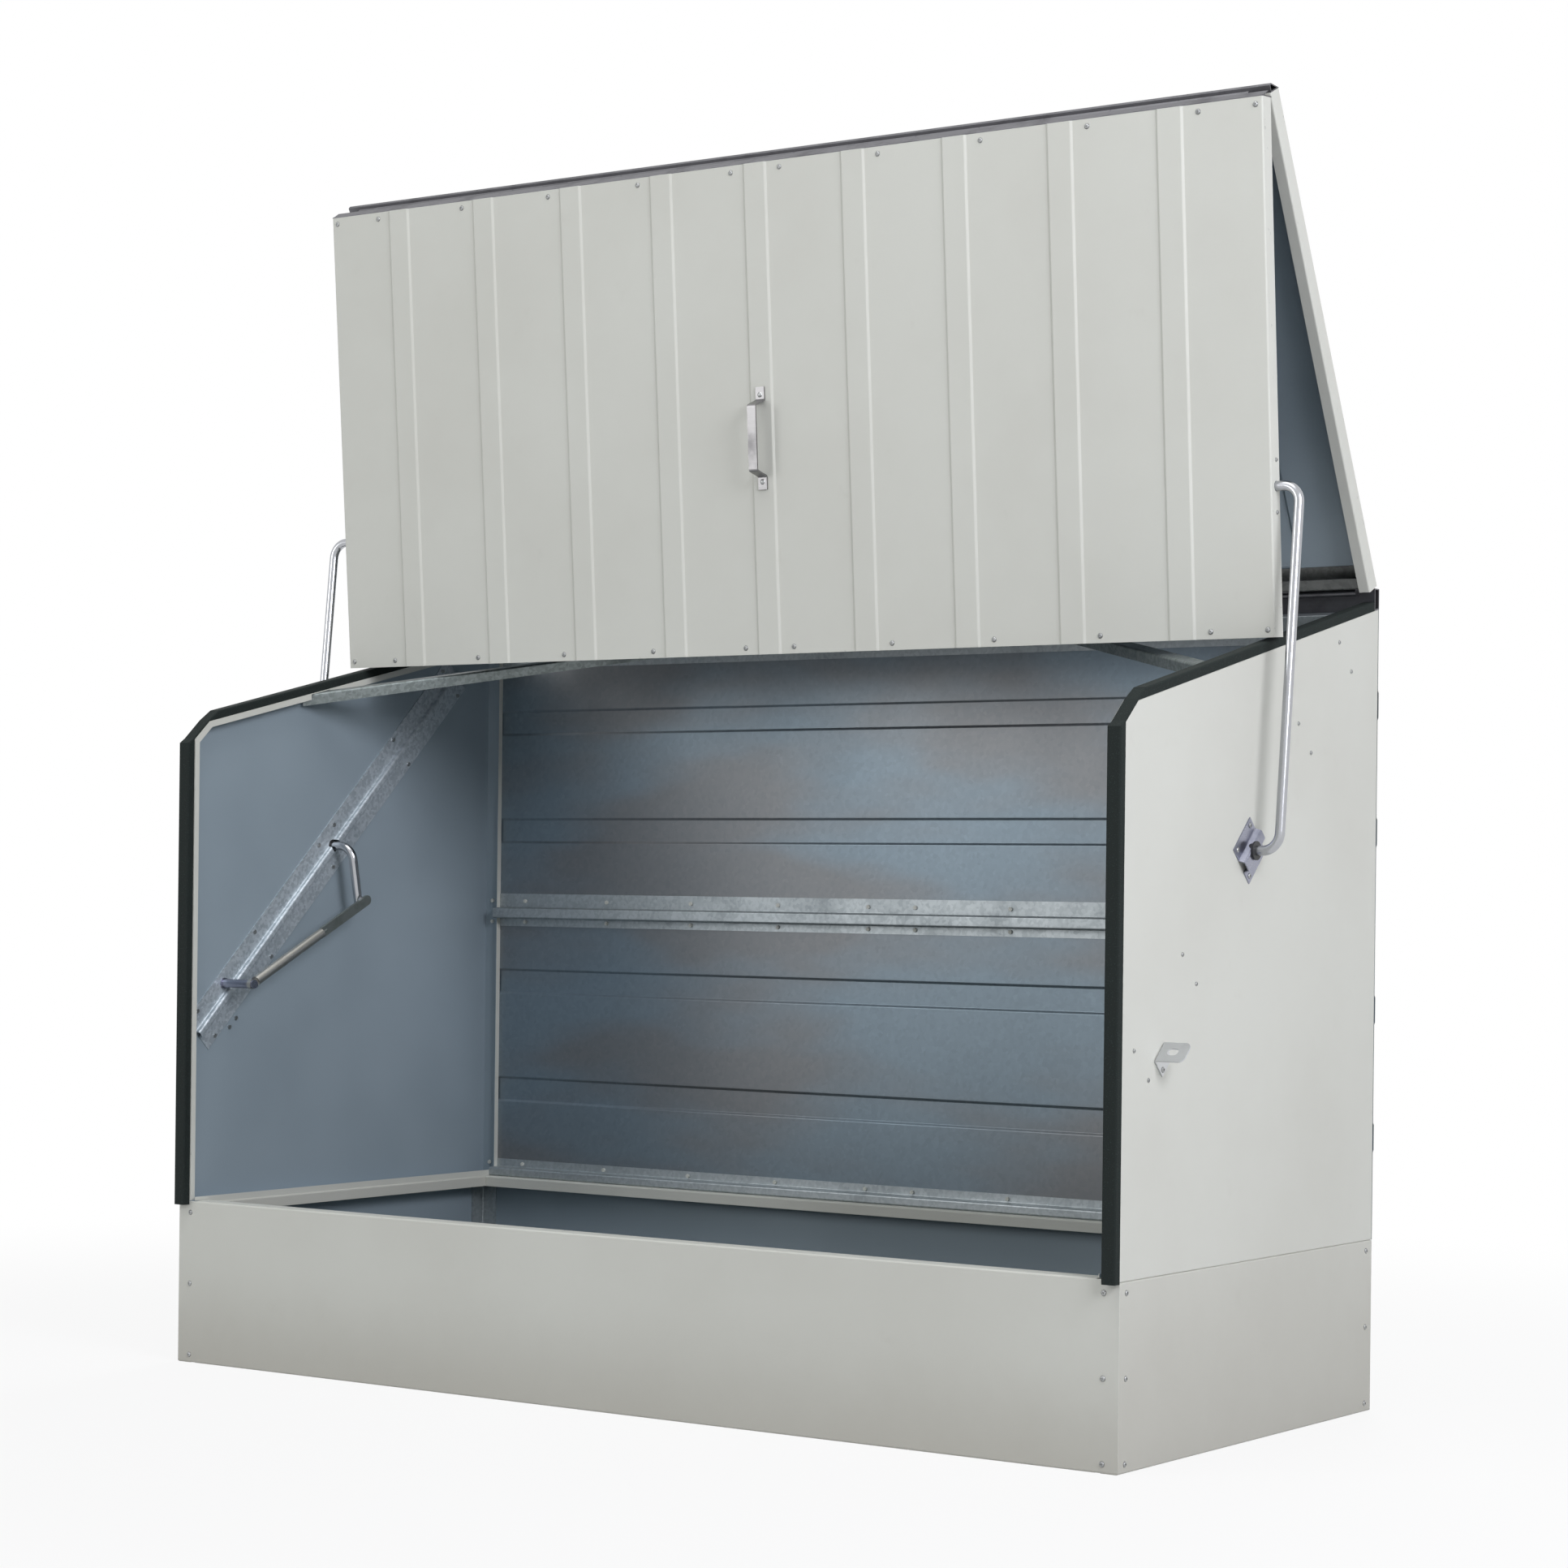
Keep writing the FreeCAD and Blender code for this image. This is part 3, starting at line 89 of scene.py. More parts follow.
# The studio: a pale floor that fades to the white surroundings and keeps the locker's shadow,
# and four large soft lamps, the strongest at the right and reaching in under the raised door.
# The surroundings look white to the camera and in the metal.
class Link:
    """A socket of a node that takes part in plain arithmetic."""

    def __init__(self, finish, socket):
        self.finish = finish
        self.socket = socket

    def maths(self, operation, a, b=0.0):
        return self.finish.add("ShaderNodeMath", {"operation": operation}, {0: a, 1: b})

    def __add__(self, other):
        return self.maths("ADD", self, other)

    __radd__ = __add__

    def __sub__(self, other):
        return self.maths("SUBTRACT", self, other)

    def __rsub__(self, other):
        return self.maths("SUBTRACT", other, self)

    def __mul__(self, other):
        return self.maths("MULTIPLY", self, other)

    __rmul__ = __mul__

    def __truediv__(self, other):
        return self.maths("DIVIDE", self, other)

    def __gt__(self, other):
        return self.maths("GREATER_THAN", self, other)

    def root(self):
        return self.maths("SQRT", self)


class Finish:
    """A node tree under construction; add() makes every node except the output."""

    def __init__(self, name, constants=(), tree=None):
        if tree is None:
            self.material = bpy.data.materials.new(name)
            self.material.use_nodes = True
            tree = self.material.node_tree
            self.shader = tree.nodes["Principled BSDF"]
            for socket, value in dict(constants).items():
                self.shader.inputs[socket].default_value = value
        self.tree = tree

    def add(self, kind, settings=(), inputs=(), output=0):
        node = self.tree.nodes.new(kind)
        for name, value in dict(settings).items():
            setattr(node, name, value)
        for key, value in dict(inputs).items():
            self.put(node.inputs[key], value)
        return Link(self, node.outputs[output])

    def put(self, socket, value):
        for part in value if isinstance(value, list) else [value]:
            if isinstance(part, Link):
                self.tree.links.new(part.socket, socket)
            else:
                socket.default_value = part

    def set(self, socket, value):
        self.put(self.shader.inputs[socket], value)

    def place(self):
        """The point on the piece, in its own coordinates."""
        return self.add("ShaderNodeTexCoord", output="Object")

    def facing(self):
        """The way the surface faces, in the piece's own coordinates."""
        return self.add("ShaderNodeTexCoord", output="Normal")

    def along(self, vector, direction):
        """How far a vector reaches along a direction."""
        return self.add("ShaderNodeVectorMath", {"operation": "DOT_PRODUCT"},
                        {0: vector, 1: direction}, output="Value")

    def stretched(self, scale):
        """The point on the piece with each axis drawn out by its own factor."""
        return self.add("ShaderNodeVectorMath", {"operation": "MULTIPLY"},
                        {0: self.place(), 1: scale})

    def cloud(self, scale, detail=3.0, roughness=0.55, where=None):
        """Noise from 0 to 1, with this many blobs to a metre."""
        return self.add("ShaderNodeTexNoise", {},
                        {"Vector": where or self.place(), "Scale": scale, "Detail": detail,
                         "Roughness": roughness})

    def ramp(self, value, low, high, start=0.0, end=1.0):
        """Smooth change from start to end as the value goes from low to high."""
        return self.add("ShaderNodeMapRange", {"interpolation_type": "SMOOTHSTEP"},
                        {"Value": value, "From Min": low, "From Max": high, "To Min": start,
                         "To Max": end})

    def mix(self, factor, a, b):
        return self.add("ShaderNodeMix", {"data_type": "RGBA"}, {0: factor, 6: a, 7: b}, output=2)

    def relief(self, height, depth, strength=1.0):
        self.set("Normal", self.add("ShaderNodeBump", {}, {"Height": height, "Distance": depth,
                                                           "Strength": strength}))


def larger(a, b):
    return a.maths("MAXIMUM", a, b)


def background_rays(finish):
    """1 for rays of the camera, of gloss and of glass, 0 for light that falls on the object."""
    rays = [finish.add("ShaderNodeLightPath", output=kind)
            for kind in ("Is Camera Ray", "Is Glossy Ray", "Is Transmission Ray")]
    return larger(larger(rays[0], rays[1]), rays[2])


world = bpy.data.worlds.new("surroundings")
bpy.context.scene.world = world
world.use_nodes = True
surroundings = Finish("surroundings", tree=world.node_tree)
sky = world.node_tree.nodes["Background"]
sky_light = 0.36
daylight = (0.93, 0.96, 1.0, 1.0)
white = (1.0, 1.0, 1.0, 1.0)
surroundings.put(sky.inputs["Color"],
                 surroundings.mix(background_rays(surroundings), daylight, white))
surroundings.put(sky.inputs["Strength"],
                 background_rays(surroundings) * (1.0 - sky_light) + sky_light)

floor_reach = 14.0
floor_shadow_start = 1.5
floor_shadow_end = 3.4
floor_glow = 0.87
floor_tone = 0.62
floor_mesh = bpy.data.meshes.new("floor")
floor_mesh.from_pydata([(-floor_reach, -floor_reach, 0), (floor_reach, -floor_reach, 0),
                        (floor_reach, floor_reach, 0), (-floor_reach, floor_reach, 0)],
                       [], [(0, 1, 2, 3)])
floor = bpy.data.objects.new("floor", floor_mesh)
bpy.context.scene.collection.objects.link(floor)
pale = Finish("pale_floor", {"Base Color": (floor_tone, floor_tone, floor_tone, 1.0),
                             "Roughness": 0.9})
from_middle = pale.add("ShaderNodeVectorMath", {"operation": "LENGTH"}, {0: pale.place()},
                       output="Value")
whiteness = (pale.ramp(from_middle, floor_shadow_start, floor_shadow_end, floor_glow, 1.0)
             * background_rays(pale))
glow = pale.add("ShaderNodeEmission", {}, {"Color": white, "Strength": 1.0})
shadowed = Link(pale, pale.shader.outputs[0])
blended = pale.add("ShaderNodeMixShader", {}, {0: whiteness, 1: shadowed, 2: glow})
pale.put(pale.tree.nodes["Material Output"].inputs["Surface"], blended)
floor_mesh.materials.append(pale.material)
floor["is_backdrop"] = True

for name, spot, target, width, watts, colour in (
        ("lamp_right", (4.6, -1.9, 3.2), (0.3, 0.0, 1.0), 2.4, 165, (0.97, 0.97, 1.04)),
        ("lamp_left", (-3.4, -5.2, 2.6), (0.0, -0.3, 1.0), 2.8, 62, (1.0, 1.0, 1.0)),
        ("lamp_above", (0.2, -1.6, 5.2), (0.0, 0.0, 0.8), 3.0, 62, (1.0, 1.0, 1.0)),
        ("lamp_behind", (-1.5, 5.0, 3.2), (0.0, 0.2, 1.0), 2.6, 140, (1.0, 1.0, 1.0))):
    lamp_data = bpy.data.lights.new(name, "AREA")
    lamp_data.shape = "DISK"
    lamp_data.size = width
    lamp_data.energy = watts
    lamp_data.color = colour
    lamp = bpy.data.objects.new(name, lamp_data)
    bpy.context.scene.collection.objects.link(lamp)
    lamp.location = spot
    lamp.rotation_euler = (Vector(target) - Vector(spot)).to_track_quat("-Z", "Y").to_euler()


# Plinth: four folded steel sheets, zinc coated, with cream powder coat on the side that was
# outermost when the sheet lay flat and a thin grey backing coat on the other. It stands on the
# ground, so dust clings to its lower part. Its sides are darkened further towards the bottom
# as painted shade where they meet the ground.
def srgb(red, green, blue):
    """A colour given as it looks on a screen, 0 to 255, for a shader socket."""
    linear = [((value / 255 + 0.055) / 1.055) ** 2.4 if value > 10 else value / 255 / 12.92
              for value in (red, green, blue)]
    return (*linear, 1.0)


def coat(material, *names):
    """The finish of each named part of the frame."""
    for name in names:
        for material_slot in nodes[name].material_slots:
            material_slot.material = material


cream = srgb(206, 207, 199)
cream_worn = srgb(190, 189, 180)
# Colour of the dust low on the plinth, also used as painted shade low on its sides
dust_and_shade_tone = srgb(148, 142, 130)
bare_edge = srgb(150, 152, 150)
backing = srgb(158, 172, 181)
backing_dark = srgb(132, 146, 155)
# Bare zinc tones inside the back; the drift between them is partly painted reflection
zinc_cool = srgb(128, 144, 155)
zinc_warm = srgb(128, 130, 132)
zinc_shade = srgb(92, 101, 108)
channel_shares = (0.34, 0.33, 0.33)
no_lip = 1.0
face_weight = 5.0
dust_and_shade_share = 0.45
dust_and_shade_reach = 4.0
chip_reach = 0.004
chip_share = 0.5


def paint_sheet(node, outwards, upwards, lip_depth=no_lip, dust_and_shade_height=0.0, bare_inside=0.0):
    """Cream on the faces that were outside before the sheet was folded. The others have the grey
    backing coat, or are left as bare zinc."""
    finish = Finish("paint_" + node)
    place = finish.place()
    facing = finish.facing()
    corners = [vertex.co for vertex in nodes[node].data.vertices]
    face_plane = max(corner.dot(outwards) for corner in corners)
    low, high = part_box(node)
    centre = (low + high) / 2
    depth = face_plane - finish.along(place, outwards)
    folded_back = depth > lip_depth
    from_centre = finish.add("ShaderNodeVectorMath", {"operation": "SUBTRACT"}, {0: place, 1: centre})
    spread = finish.along(from_centre, facing)
    face_turn = face_weight - folded_back * (2.0 * face_weight)
    outside = finish.along(facing, outwards) * face_turn + spread > 0.0

    scuff = finish.ramp(finish.cloud(14.0, 6.0, 0.7), 0.60, 0.78)
    wear = finish.ramp(finish.cloud(2.2, 4.0), 0.35, 0.75) * 0.35 + scuff * 0.18
    paint = finish.mix(wear, cream, cream_worn)
    # Darker towards the bottom: dust, and on the plinth's sides also painted shade near the ground
    if dust_and_shade_height:
        height = finish.add("ShaderNodeSeparateXYZ", {}, {0: place}, output="Z")
        low_dust_and_shade = finish.ramp(height + finish.cloud(9.0, 5.0) * dust_and_shade_height,
                               dust_and_shade_height * dust_and_shade_reach, 0.0)
        paint = finish.mix(low_dust_and_shade * dust_and_shade_share, paint, dust_and_shade_tone)
    # Small chips along the cut and folded edges
    to_edge = None
    for direction in (upwards, upwards.cross(outwards)):
        reaches = [corner.dot(direction) for corner in corners]
        reach = finish.along(place, direction)
        for gap in (reach - min(reaches), max(reaches) - reach):
            to_edge = gap if to_edge is None else to_edge.maths("MINIMUM", to_edge, gap)
    chips = (finish.ramp(to_edge, 0.0, chip_reach, 1.0, 0.0)
             * finish.ramp(finish.cloud(55.0, 4.0, 0.7), 0.64, 0.70))
    paint = finish.mix(chips * chip_share, paint, bare_edge)

    smudge = finish.ramp(finish.cloud(1.6, 3.0), 0.3, 0.72)
    grain = finish.cloud(420.0, 2.0)
    grey = finish.mix(smudge * 0.6 + grain * 0.2, backing, backing_dark)
    if bare_inside:
        crystals = finish.add("ShaderNodeTexVoronoi", {}, {"Scale": 130.0, "Vector": place},
                              output="Color")
        cells = finish.along(crystals, channel_shares)
        # Patches drifting between blue-grey and neutral grey: varying zinc tone, and painted
        # reflections on the bare zinc
        tone_and_reflection_patches = finish.ramp(finish.cloud(2.6, 3.0, 0.5, finish.stretched((0.5, 1.0, 1.6))), 0.42, 0.62)
        grey = finish.mix(cells * 0.3 + grain * 0.1, finish.mix(tone_and_reflection_patches, zinc_cool, zinc_warm),
                          zinc_shade)
    finish.set("Base Color", finish.mix(outside, grey, paint))
    metal = 0.15 + bare_inside * 0.4
    finish.set("Metallic", metal - outside * metal)
    speckle = finish.cloud(900.0, 1.0)
    inside_roughness = smudge * 0.1 + (0.42 - bare_inside * 0.08)
    finish.set("Roughness", inside_roughness * (1.0 - outside) + outside * (0.44 + speckle * 0.14))
    finish.relief(speckle * 0.5 + finish.cloud(220.0, 2.0) * 0.5 - chips * 0.6, 0.0004, 0.35)
    coat(finish.material, node)


right, left = Vector((1, 0, 0)), Vector((-1, 0, 0))
front, back, up = Vector((0, -1, 0)), Vector((0, 1, 0)), Vector((0, 0, 1))
plinth_lip = 0.025
front_dust = 0.06
# The sides are darkened more towards the bottom: dust and painted shade where they meet the ground
side_dust_and_shade = 0.15
for node, outwards, dust_and_shade_band in (("plinth_front", front, front_dust),
                                 ("plinth_rear", back, front_dust),
                                 ("plinth_side_right", right, side_dust_and_shade),
                                 ("plinth_side_left", left, side_dust_and_shade)):
    paint_sheet(node, outwards, up, plinth_lip, dust_and_shade_band)


# Posts inside the plinth's corners: zinc-coated angle, folded, with faint crystals in the zinc
# and dull where it has been handled. The floor trays and their joist are the same sheet, gone
# dark and scratched along its length by what has been rolled in.
def zinc_finish(name, light, dark, crystal, roughness=0.42, rolled=0.0, contrast=0.35, metal=0.8):
    """Hot-dipped zinc: its crystals, a cloudy bloom and, where rolled on, long tracks."""
    finish = Finish(name, {"Metallic": metal})
    cells = finish.add("ShaderNodeTexVoronoi", {}, {"Scale": crystal, "Vector": finish.place()},
                       output="Color")
    flakes = finish.along(cells, channel_shares)
    bloom = finish.ramp(finish.cloud(5.0, 5.0, 0.65), 0.40, 0.72)
    colour = finish.mix(finish.ramp(flakes, 0.3, 0.7) * contrast + bloom * 0.4, light, dark)
    height = flakes * 0.5 + finish.cloud(60.0, 3.0) * 0.4
    if rolled:
        scratches = finish.cloud(1.0, 3.0, 0.6, finish.stretched((160.0, 2.0, 160.0)))
        tracks = finish.ramp(scratches, 0.52, 0.66)
        colour = finish.mix(tracks * rolled, colour, srgb(70, 70, 66))
        height = height - tracks * rolled
    finish.set("Base Color", colour)
    finish.set("Roughness", roughness + flakes * 0.08 + bloom * 0.12)
    finish.relief(height, 0.0003, 0.25)
    return finish.material


galvanised = zinc_finish("galvanised", srgb(176, 183, 186), srgb(138, 146, 150), 170.0)
coat(galvanised, "plinth_posts")
coat(zinc_finish("floor_zinc", srgb(78, 86, 84), srgb(56, 62, 60), 120.0, 0.5, rolled=0.5),
     "floor_trays", "floor_joist")


# Screws and rivets: zinc-plated steel, a low dome head with a cross recess, a shank through the
# sheets and a hexagon nut behind them. Each was driven by hand, so each recess is turned its own
# way. Those of the plinth go through its sheets into the corner posts.
def plated_finish(name, colour, worn, roughness, scratches=(40.0, 40.0, 900.0), wear=1.0):
    """Thin zinc plating: smooth, with fine lines and patches of wear."""
    finish = Finish(name, {"Metallic": 1.0})
    lines = finish.cloud(1.0, 4.0, 0.6, where=finish.stretched(scratches))
    patches = finish.ramp(finish.cloud(18.0, 4.0, 0.6), 0.45, 0.75)
    finish.set("Base Color", finish.mix((patches * 0.5 + lines * 0.25) * wear, colour, worn))
    finish.set("Roughness", roughness + (lines * 0.12 + patches * 0.1) * wear)
    finish.relief(lines * wear, 0.0001, 0.3)
    return finish.material


head_radius = 0.0048
head_height = 0.0024
nut_height = 0.003
rivet_radius = 0.0037
dome_sides = 14
dome_rings = 4
shank_sides = 8
nut_sides = 6
driven = bpy.data.node_groups.new("driven_screws", "GeometryNodeTree")
driven.interface.new_socket("Places", in_out="INPUT", socket_type="NodeSocketGeometry")
for name, size in (("Head radius", head_radius), ("Head height", head_height),
                   ("Recess width", 0.0011), ("Recess length", 0.0046), ("Recess depth", 0.0012),
                   ("Shank radius", 0.003), ("Nut radius", 0.004), ("Nut height", nut_height)):
    socket = driven.interface.new_socket(name, in_out="INPUT", socket_type="NodeSocketFloat")
    socket.default_value = size
driven.interface.new_socket("Seed", in_out="INPUT", socket_type="NodeSocketInt")
driven.interface.new_socket("Finish", in_out="INPUT", socket_type="NodeSocketMaterial")
driven.interface.new_socket("Screws", in_out="OUTPUT", socket_type="NodeSocketGeometry")
make = Finish("driven_screws", tree=driven)
given = driven.nodes.new("NodeGroupInput")
given_sizes = {socket.name: Link(make, socket) for socket in given.outputs if socket.name}

radius, height = given_sizes["Head radius"], given_sizes["Head height"]
cone = make.add("GeometryNodeMeshCone", {"fill_type": "NGON"},
                {"Vertices": dome_sides, "Side Segments": dome_rings, "Radius Top": 0.0,
                 "Radius Bottom": radius, "Depth": height})
corner = driven.nodes.new("ShaderNodeSeparateXYZ")
make.put(corner.inputs[0], make.add("GeometryNodeInputPosition"))
across, deep = Link(make, corner.outputs["X"]), Link(make, corner.outputs["Y"])
square = across * across + deep * deep
ball = (radius * radius + height * height) / (height * 2.0)
dome_top = (ball * ball - square).root() - ball + height
head = make.add("GeometryNodeSetPosition", {},
                {"Geometry": cone,
                 "Position": make.add("ShaderNodeCombineXYZ", {}, {0: across, 1: deep, 2: dome_top})})
head = make.add("GeometryNodeSetShadeSmooth", {}, {0: head})
cutters = []
for size_x, size_y in (("Recess width", "Recess length"), ("Recess length", "Recess width")):
    size = make.add("ShaderNodeCombineXYZ", {}, {0: given_sizes[size_x], 1: given_sizes[size_y],
                                                 2: given_sizes["Recess depth"] * 2.0})
    bar = make.add("GeometryNodeMeshCube", {}, {"Size": size})
    cutters.append(make.add("GeometryNodeTransform", {}, {
        "Geometry": bar, "Translation": make.add("ShaderNodeCombineXYZ", {}, {2: height})}))
head = make.add("GeometryNodeMeshBoolean", {"operation": "DIFFERENCE"},
                {"Mesh 1": head, "Mesh 2": cutters})

shank = make.add("GeometryNodeMeshCylinder", {},
                 {"Vertices": shank_sides, "Radius": given_sizes["Shank radius"], "Depth": 1.0})
shank = make.add("GeometryNodeTransform", {}, {"Geometry": shank, "Translation": (0.0, 0.0, -0.5)})
nut_size = given_sizes["Nut height"]
nut = make.add("GeometryNodeMeshCylinder", {},
               {"Vertices": nut_sides, "Radius": given_sizes["Nut radius"], "Depth": nut_size})
nut = make.add("GeometryNodeTransform", {}, {
    "Geometry": nut, "Translation": make.add("ShaderNodeCombineXYZ", {}, {2: nut_size * -0.5})})

outward = make.add("GeometryNodeInputNamedAttribute", {"data_type": "FLOAT_VECTOR"},
                   {"Name": "outward"})
grip = make.add("GeometryNodeInputNamedAttribute", {"data_type": "FLOAT"}, {"Name": "grip"})
turned = make.add("FunctionNodeRandomValue", {"data_type": "FLOAT"},
                  {2: 0.0, 3: math.tau, "Seed": given_sizes["Seed"]}, output=1)
spin = make.add("FunctionNodeAxisAngleToRotation", {}, {"Axis": (0.0, 0.0, 1.0), "Angle": turned})
aim = make.add("FunctionNodeAlignRotationToVector", {"axis": "Z"}, {"Vector": outward})
aim = make.add("FunctionNodeRotateRotation", {"rotation_space": "LOCAL"},
               {"Rotation": aim, "Rotate By": spin})
places = given_sizes["Places"]
to_nut = make.add("ShaderNodeVectorMath", {"operation": "SCALE"},
                  {0: outward, "Scale": grip * -1.0})
behind = make.add("GeometryNodeSetPosition", {}, {"Geometry": places, "Offset": to_nut})
parts = [make.add("GeometryNodeInstanceOnPoints", {},
                  {"Points": spots, "Instance": part, "Rotation": aim, "Scale": scale})
         for spots, part, scale in (
             (places, head, (1.0, 1.0, 1.0)),
             (places, shank, make.add("ShaderNodeCombineXYZ", {}, {0: 1.0, 1: 1.0, 2: grip})),
             (behind, nut, (1.0, 1.0, 1.0)))]
joined = make.add("GeometryNodeJoinGeometry", {}, {0: parts})
realized = make.add("GeometryNodeRealizeInstances", {}, {0: joined})
finished = make.add("GeometryNodeSetMaterial", {},
                    {"Geometry": realized, "Material": given_sizes["Finish"]})
make.put(driven.nodes.new("NodeGroupOutput").inputs[0], finished)


def drive_screws(node, body, finish, outward_choices, seed, size=head_radius):
    """Screws where the node has its plain ones, read from the node's own mesh."""
    plain = bmesh.new()
    plain.from_mesh(nodes[node].data)
    bmesh.ops.remove_doubles(plain, verts=plain.verts, dist=0.000001)
    seen = set()
    spots, ways, grips = [], [], []
    for start in plain.verts:
        if start in seen:
            continue
        seen.add(start)
        waiting, solid = [start], []
        while waiting:
            vertex = waiting.pop()
            solid.append(vertex.co)
            for edge in vertex.link_edges:
                other = edge.other_vert(vertex)
                if other not in seen:
                    seen.add(other)
                    waiting.append(other)
        # A screw is shorter along its own axis than across its head
        middle = sum(solid, Vector()) / len(solid)
        reaches = [[corner.dot(way) for corner in solid] for way in outward_choices]
        lengths = [max(reach) - min(reach) for reach in reaches]
        way = outward_choices[lengths.index(min(lengths))]
        if way.dot(middle) < 0 and -way in outward_choices:
            way = -way
        top = max(corner.dot(way) for corner in solid)
        bottom = min(corner.dot(way) for corner in solid)
        spots.append(middle + way * (top - head_height - middle.dot(way)))
        ways.append(way)
        grips.append(top - head_height - bottom - nut_height)
    plain.free()

    name = node.replace("screws", "driven").replace("rivets", "domed")
    points = bpy.data.meshes.new(name + "_places")
    points.from_pydata(spots, [], [])
    points.attributes.new("outward", "FLOAT_VECTOR", "POINT").data.foreach_set(
        "vector", [value for way in ways for value in way])
    points.attributes.new("grip", "FLOAT", "POINT").data.foreach_set("value", grips)
    holder = bpy.data.objects.new(name + "_places", points)
    bpy.context.scene.collection.objects.link(holder)
    modifier = holder.modifiers.new("driven", "NODES")
    modifier.node_group = driven
    for item in driven.interface.items_tree:
        if item.name == "Seed":
            modifier[item.identifier] = seed
        if item.name == "Head radius":
            modifier[item.identifier] = size
        if item.name == "Finish":
            modifier[item.identifier] = finish
    holder.update_tag()
    bpy.context.view_layer.update()
    evaluated = holder.evaluated_get(bpy.context.evaluated_depsgraph_get())
    made = bpy.data.meshes.new_from_object(evaluated)
    bpy.data.objects.remove(holder)
    for attribute in ("outward", "grip"):
        if attribute in made.attributes:
            made.attributes.remove(made.attributes[attribute])
    piece = bpy.data.objects.new(name, made)
    bpy.context.scene.collection.objects.link(piece)
    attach(piece, body)
    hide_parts(node)


screw_zinc = plated_finish("screw_zinc", srgb(172, 174, 174), srgb(120, 122, 124), 0.32)
drive_screws("plinth_screws", "cabinet", screw_zinc,
             [right, left, front, back], 1)


# Side panels: one flat sheet each, folded inwards along all five edges into a shallow tray with
# a narrow lip, so the cream outside shows again on the lip. Ridged braces slant up the inside,
# riveted through the panel, and a zinc angle stiffens each rear corner below the top.
side_lip_depth = 0.022
paint_sheet("side_panel_right", right, up, side_lip_depth)
paint_sheet("side_panel_left", left, up, side_lip_depth)
coat(zinc_finish("brace_zinc", srgb(204, 213, 219), srgb(146, 158, 166), 190.0, 0.36,
                 contrast=0.5, metal=0.55),
     "brace_right", "brace_left")
coat(zinc_finish("corner_zinc", srgb(130, 138, 138), srgb(92, 100, 100), 190.0, 0.4, contrast=0.5),
     "corner_brace_right", "corner_brace_left")
drive_screws("brace_rivets", "cabinet", screw_zinc, [right, left], 2,
             rivet_radius)


# Back: two sheets with long pressed ribs, one above the other, cream outside and bare zinc
# inside, screwed to three folded zinc-coated rails that run across the inside.
paint_sheet("back_sheet_lower", back, up, bare_inside=1.0)
paint_sheet("back_sheet_upper", back, up, bare_inside=1.0)
coat(galvanised, "back_rail_bottom", "back_rail_middle", "back_rail_top")
screw_cream = Finish("screw_cream", {"Metallic": 0.0})
rubbed = screw_cream.ramp(screw_cream.cloud(160.0, 3.0), 0.6, 0.7) * 0.5
screw_cream.set("Base Color", screw_cream.mix(rubbed, cream, bare_edge))
screw_cream.set("Roughness", 0.4 + screw_cream.cloud(500.0, 2.0) * 0.2)
screw_cream.relief(screw_cream.cloud(700.0, 2.0), 0.0002, 0.3)
drive_screws("back_screws", "cabinet", screw_cream.material, [back], 3)


# Seals: black closed-cell rubber strip with rounded outer edges, glued along the front and top
# edges of the side panels. It is pressed thin where it turns over the cut-off corner, so that
# the closing door and roof clear it.
seal_outer_x = 0.968
seal_inner_x = 0.944
seal_round = 0.003
round_share = 0.6
round_steps = 3
edge_rise, edge_run = 0.190, 0.803
top_slope = math.atan2(edge_rise, edge_run)
front_edge_y, corner_y = -0.420, -0.383
corner_low_z, corner_high_z = 1.114, 1.148
seal_foot_z = 0.282
front_run_top_z = 1.1075
top_run_setback = 0.024
thick, thin = 0.015, 0.003
seal_end_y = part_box("seal_right")[1].y


def on_top_edge(y):
    return corner_high_z + (y - corner_y) * math.tan(top_slope)


corner_out = Vector((0, corner_low_z - corner_high_z, corner_y - front_edge_y)).normalized()
lift = thick / math.cos(top_slope)
top_run_y = corner_y + top_run_setback
# Where the strip's foot is at each turn, and how far the strip stands out there
stations = [
    (Vector((0, front_edge_y, seal_foot_z)), Vector((0, -thick, 0))),
    (Vector((0, front_edge_y, front_run_top_z)), Vector((0, -thick, 0))),
    (Vector((0, front_edge_y, corner_low_z)), corner_out * thin),
    (Vector((0, corner_y, corner_high_z)), corner_out * thin),
    (Vector((0, top_run_y, on_top_edge(top_run_y))), Vector((0, 0, lift))),
    (Vector((0, seal_end_y, on_top_edge(seal_end_y))), Vector((0, 0, lift)))]
rings = []
for foot, reach in stations:
    depth = reach.length
    rounding = min(seal_round, depth * round_share)
    ring = [(seal_inner_x, 0.0), (seal_outer_x, 0.0)]
    for x_centre, turn_from in ((seal_outer_x - rounding, 0.0),
                                (seal_inner_x + rounding, math.pi / 2)):
        for step in range(round_steps + 1):
            angle = turn_from + math.pi / 2 * step / round_steps
            ring.append((x_centre + rounding * math.cos(angle),
                         depth - rounding + rounding * math.sin(angle)))
    rings.append([foot + Vector((x, 0, 0)) + reach * (out / depth) for x, out in ring])

